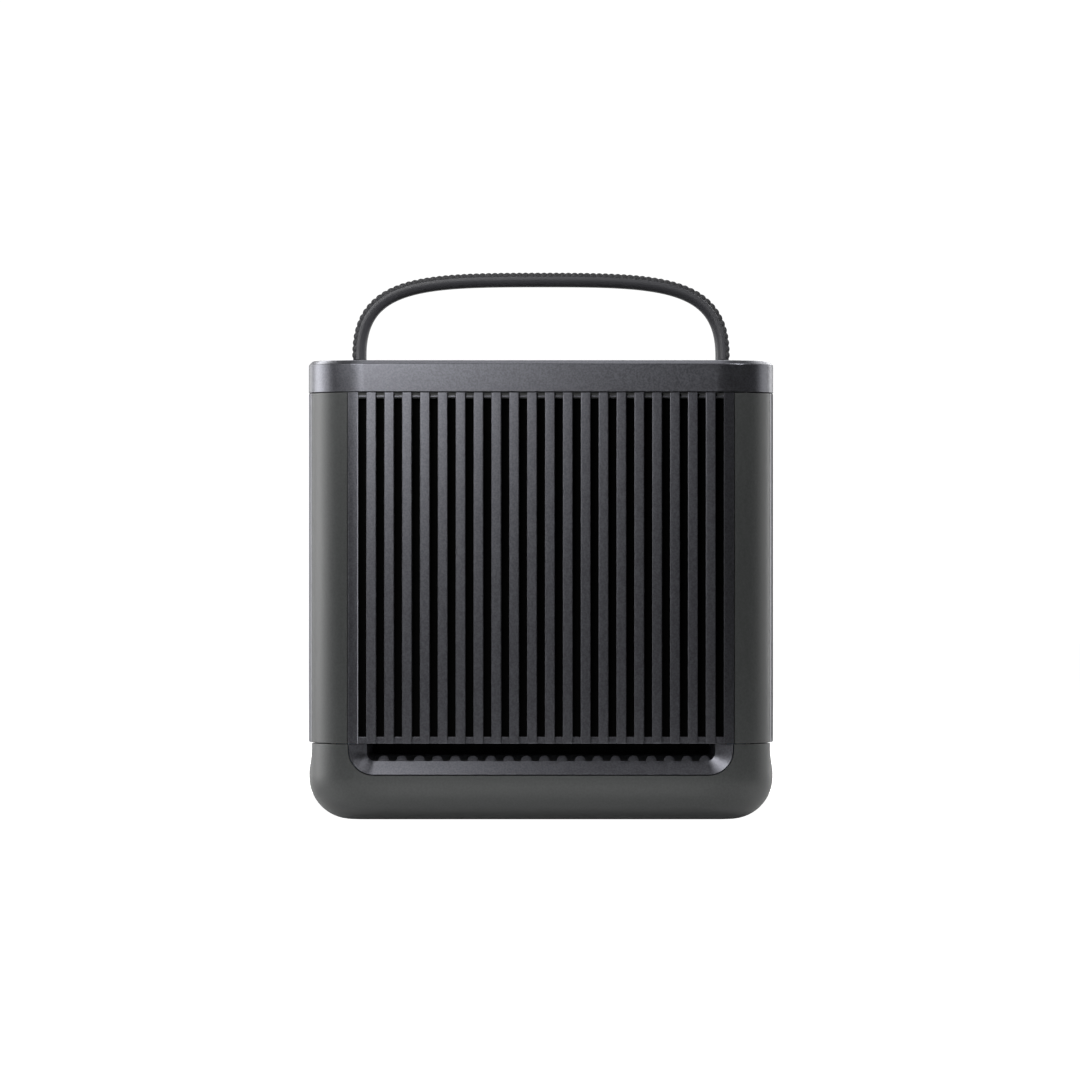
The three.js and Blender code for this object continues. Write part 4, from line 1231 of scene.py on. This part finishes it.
# Softboxes: name, azimuth from the front, elevation, distance, width, height, watts.
SOFTBOXES = (
    ("key", -12, 16, 0.85, 0.2, 0.24, 1.4),
    ("near_left", -30, 29, 0.46, 0.14, 0.14, 0.49),
    ("near_high", -22, 37, 0.4, 0.14, 0.14, 0.14),
    ("near_side", -49, 22, 0.5, 0.14, 0.14, 0.12),
    ("lip_right", 54, 42, 0.8, 0.12, 0.2, 2.8),
    ("left_panel", -84, 10, 1.1, 0.28, 0.8, 1.6),
    ("left_wall", -105, 10, 1.1, 0.5, 0.8, 6.8),
    ("left_back", -137, 10, 1.1, 0.28, 0.8, 1.8),
    ("right_wall", 107, 10, 1.1, 0.5, 0.8, 1.9),
    ("right_back", 135, 10, 1.1, 0.28, 0.8, 2.3),
    ("rim_left", -138, 43, 1.0, 0.3, 0.3, 2.2),
    ("rim_right", 138, 43, 1.0, 0.3, 0.3, 0.9),
    ("top", 0, 88, 1.06, 0.5, 0.5, 1.4),
    ("top_back", 180, 55, 1.1, 0.7, 0.4, 5.0),
    ("back_key", 158, 30, 1.0, 0.4, 0.4, 2.0),
    ("back_wall", 180, 4, 1.8, 2.4, 1.2, 5.0),
)


def softbox(name, azimuth, elevation, distance, width, height, watts):
    """A rectangular area light that faces the object and isn't seen itself."""
    data = bpy.data.lights.new(name, "AREA")
    data.energy = watts
    data.shape = "RECTANGLE"
    data.size = width
    data.size_y = height
    turn_by = math.radians(azimuth)
    raise_by = math.radians(elevation)
    away = Vector((
        math.sin(turn_by) * math.cos(raise_by),
        -math.cos(turn_by) * math.cos(raise_by),
        math.sin(raise_by),
    ))
    light = bpy.data.objects.new(name, data)
    light.location = FOCUS + away * distance
    light.rotation_euler = (-away).to_track_quat("-Z", "Y").to_euler()
    light.visible_camera = False
    bpy.context.scene.collection.objects.link(light)


def glow(name, color, strength):
    """A plain emitting material for the stage."""
    material, _, principled = shader(name, color, 0.9)
    principled.inputs["Emission Color"].default_value = (1, 1, 1, 1)
    principled.inputs["Emission Strength"].default_value = strength
    principled.inputs["Specular IOR Level"].default_value = 0.0
    return material


def stage_piece(name, loops, material):
    """A flat piece of the stage between two outlines, or inside one."""
    bm = bmesh.new()
    if len(loops) > 1:
        loft(bm, loops, cap_ends=False)
    else:
        bm.faces.new([bm.verts.new(point) for point in loops[0]])
    mesh = bpy.data.meshes.new(name)
    bm.to_mesh(mesh)
    bm.free()
    mesh.materials.append(material)
    piece = bpy.data.objects.new(name, mesh)
    bpy.context.scene.collection.objects.link(piece)
    return piece


def bounce_card(name, loops, strength):
    """A card on the floor that throws light up on to the object, and isn't seen itself."""
    card = stage_piece(name, loops, glow(name, (0.8, 0.8, 0.8), strength))
    card.visible_camera = False


def outline_round(margin, z=0.0):
    """The object's plan outline, grown by a margin, in metres."""
    outline = rounded_rect(HALF_W + margin, HALF_D + margin, CORNER_R + max(margin, 0))
    return [(x * MM, y * MM, z) for x, y in outline]


def make_stage():
    world = bpy.data.worlds.new("studio")
    bpy.context.scene.world = world
    world.use_nodes = True
    background = world.node_tree.nodes["Background"]
    background.inputs["Color"].default_value = (1, 1, 1, 1)
    background.inputs["Strength"].default_value = 0.0
    backdrop_light = world.node_tree.nodes.new("ShaderNodeBackground")
    backdrop_light.inputs["Color"].default_value = (1, 1, 1, 1)
    backdrop_light.inputs["Strength"].default_value = 1.05
    mix = world.node_tree.nodes.new("ShaderNodeMixShader")
    seen = world.node_tree.nodes.new("ShaderNodeLightPath")
    links = world.node_tree.links
    links.new(seen.outputs["Is Camera Ray"], mix.inputs["Fac"])
    links.new(background.outputs["Background"], mix.inputs[1])
    links.new(backdrop_light.outputs["Background"], mix.inputs[2])
    links.new(mix.outputs["Shader"], world.node_tree.nodes["World Output"].inputs["Surface"])

    white = glow("floor_white", (0.8, 0.8, 0.8), 1.02)
    floor = stage_piece("floor", [outline_round(5000)], white)
    floor.visible_diffuse = False
    floor.visible_glossy = False
    floor.visible_shadow = False
    bounce_card("card_round", [outline_round(-22, 0.0001), outline_round(140, 0.0001)], 0.1)
    near = cad_low.y - 0.008
    far = cad_low.y - 0.15
    wide = 0.085
    front_card = [(-wide, far, 0.0002), (wide, far, 0.0002), (wide, near, 0.0002), (-wide, near, 0.0002)]
    bounce_card("card_front", [front_card], 0.5)
    for row in SOFTBOXES:
        softbox(*row)


def make_camera():
    """Level long lens, straight on to the front, near the middle of its height."""
    distance = 2.9
    frame_width = 0.5481
    across = -0.0005
    height = 0.1431
    data = bpy.data.cameras.new("camera")
    data.sensor_width = 36.0
    data.lens = data.sensor_width * distance / frame_width
    data.clip_end = 50
    camera = bpy.data.objects.new("camera", data)
    camera.location = (across, cad_low.y - distance, height)
    camera.rotation_euler = (math.radians(90), 0, 0)
    bpy.context.scene.collection.objects.link(camera)
    bpy.context.scene.camera = camera


# ---- Assembly --------------------------------------------------------------------------

make_materials()
base_shell()
column_frame()
cap_ring()
tray_deck()
grille("front_fins", FRONT_HALF, HALF_D, BODY_HALF_W, 0, 20, FRONT_DUCT_END, "front_grille")
grille("left_fins", SIDE_HALF, HALF_W, BODY_HALF_D, -90, 13, SIDE_DUCT_END, "left_grille")
grille("right_fins", SIDE_HALF, HALF_W, BODY_HALF_D, 90, 13, SIDE_DUCT_END, "right_grille")
handle_body()
handle_ribs()
rear_face()
dress_nodes()
make_stage()
make_camera()
bpy.context.scene.view_settings.view_transform = "Standard"
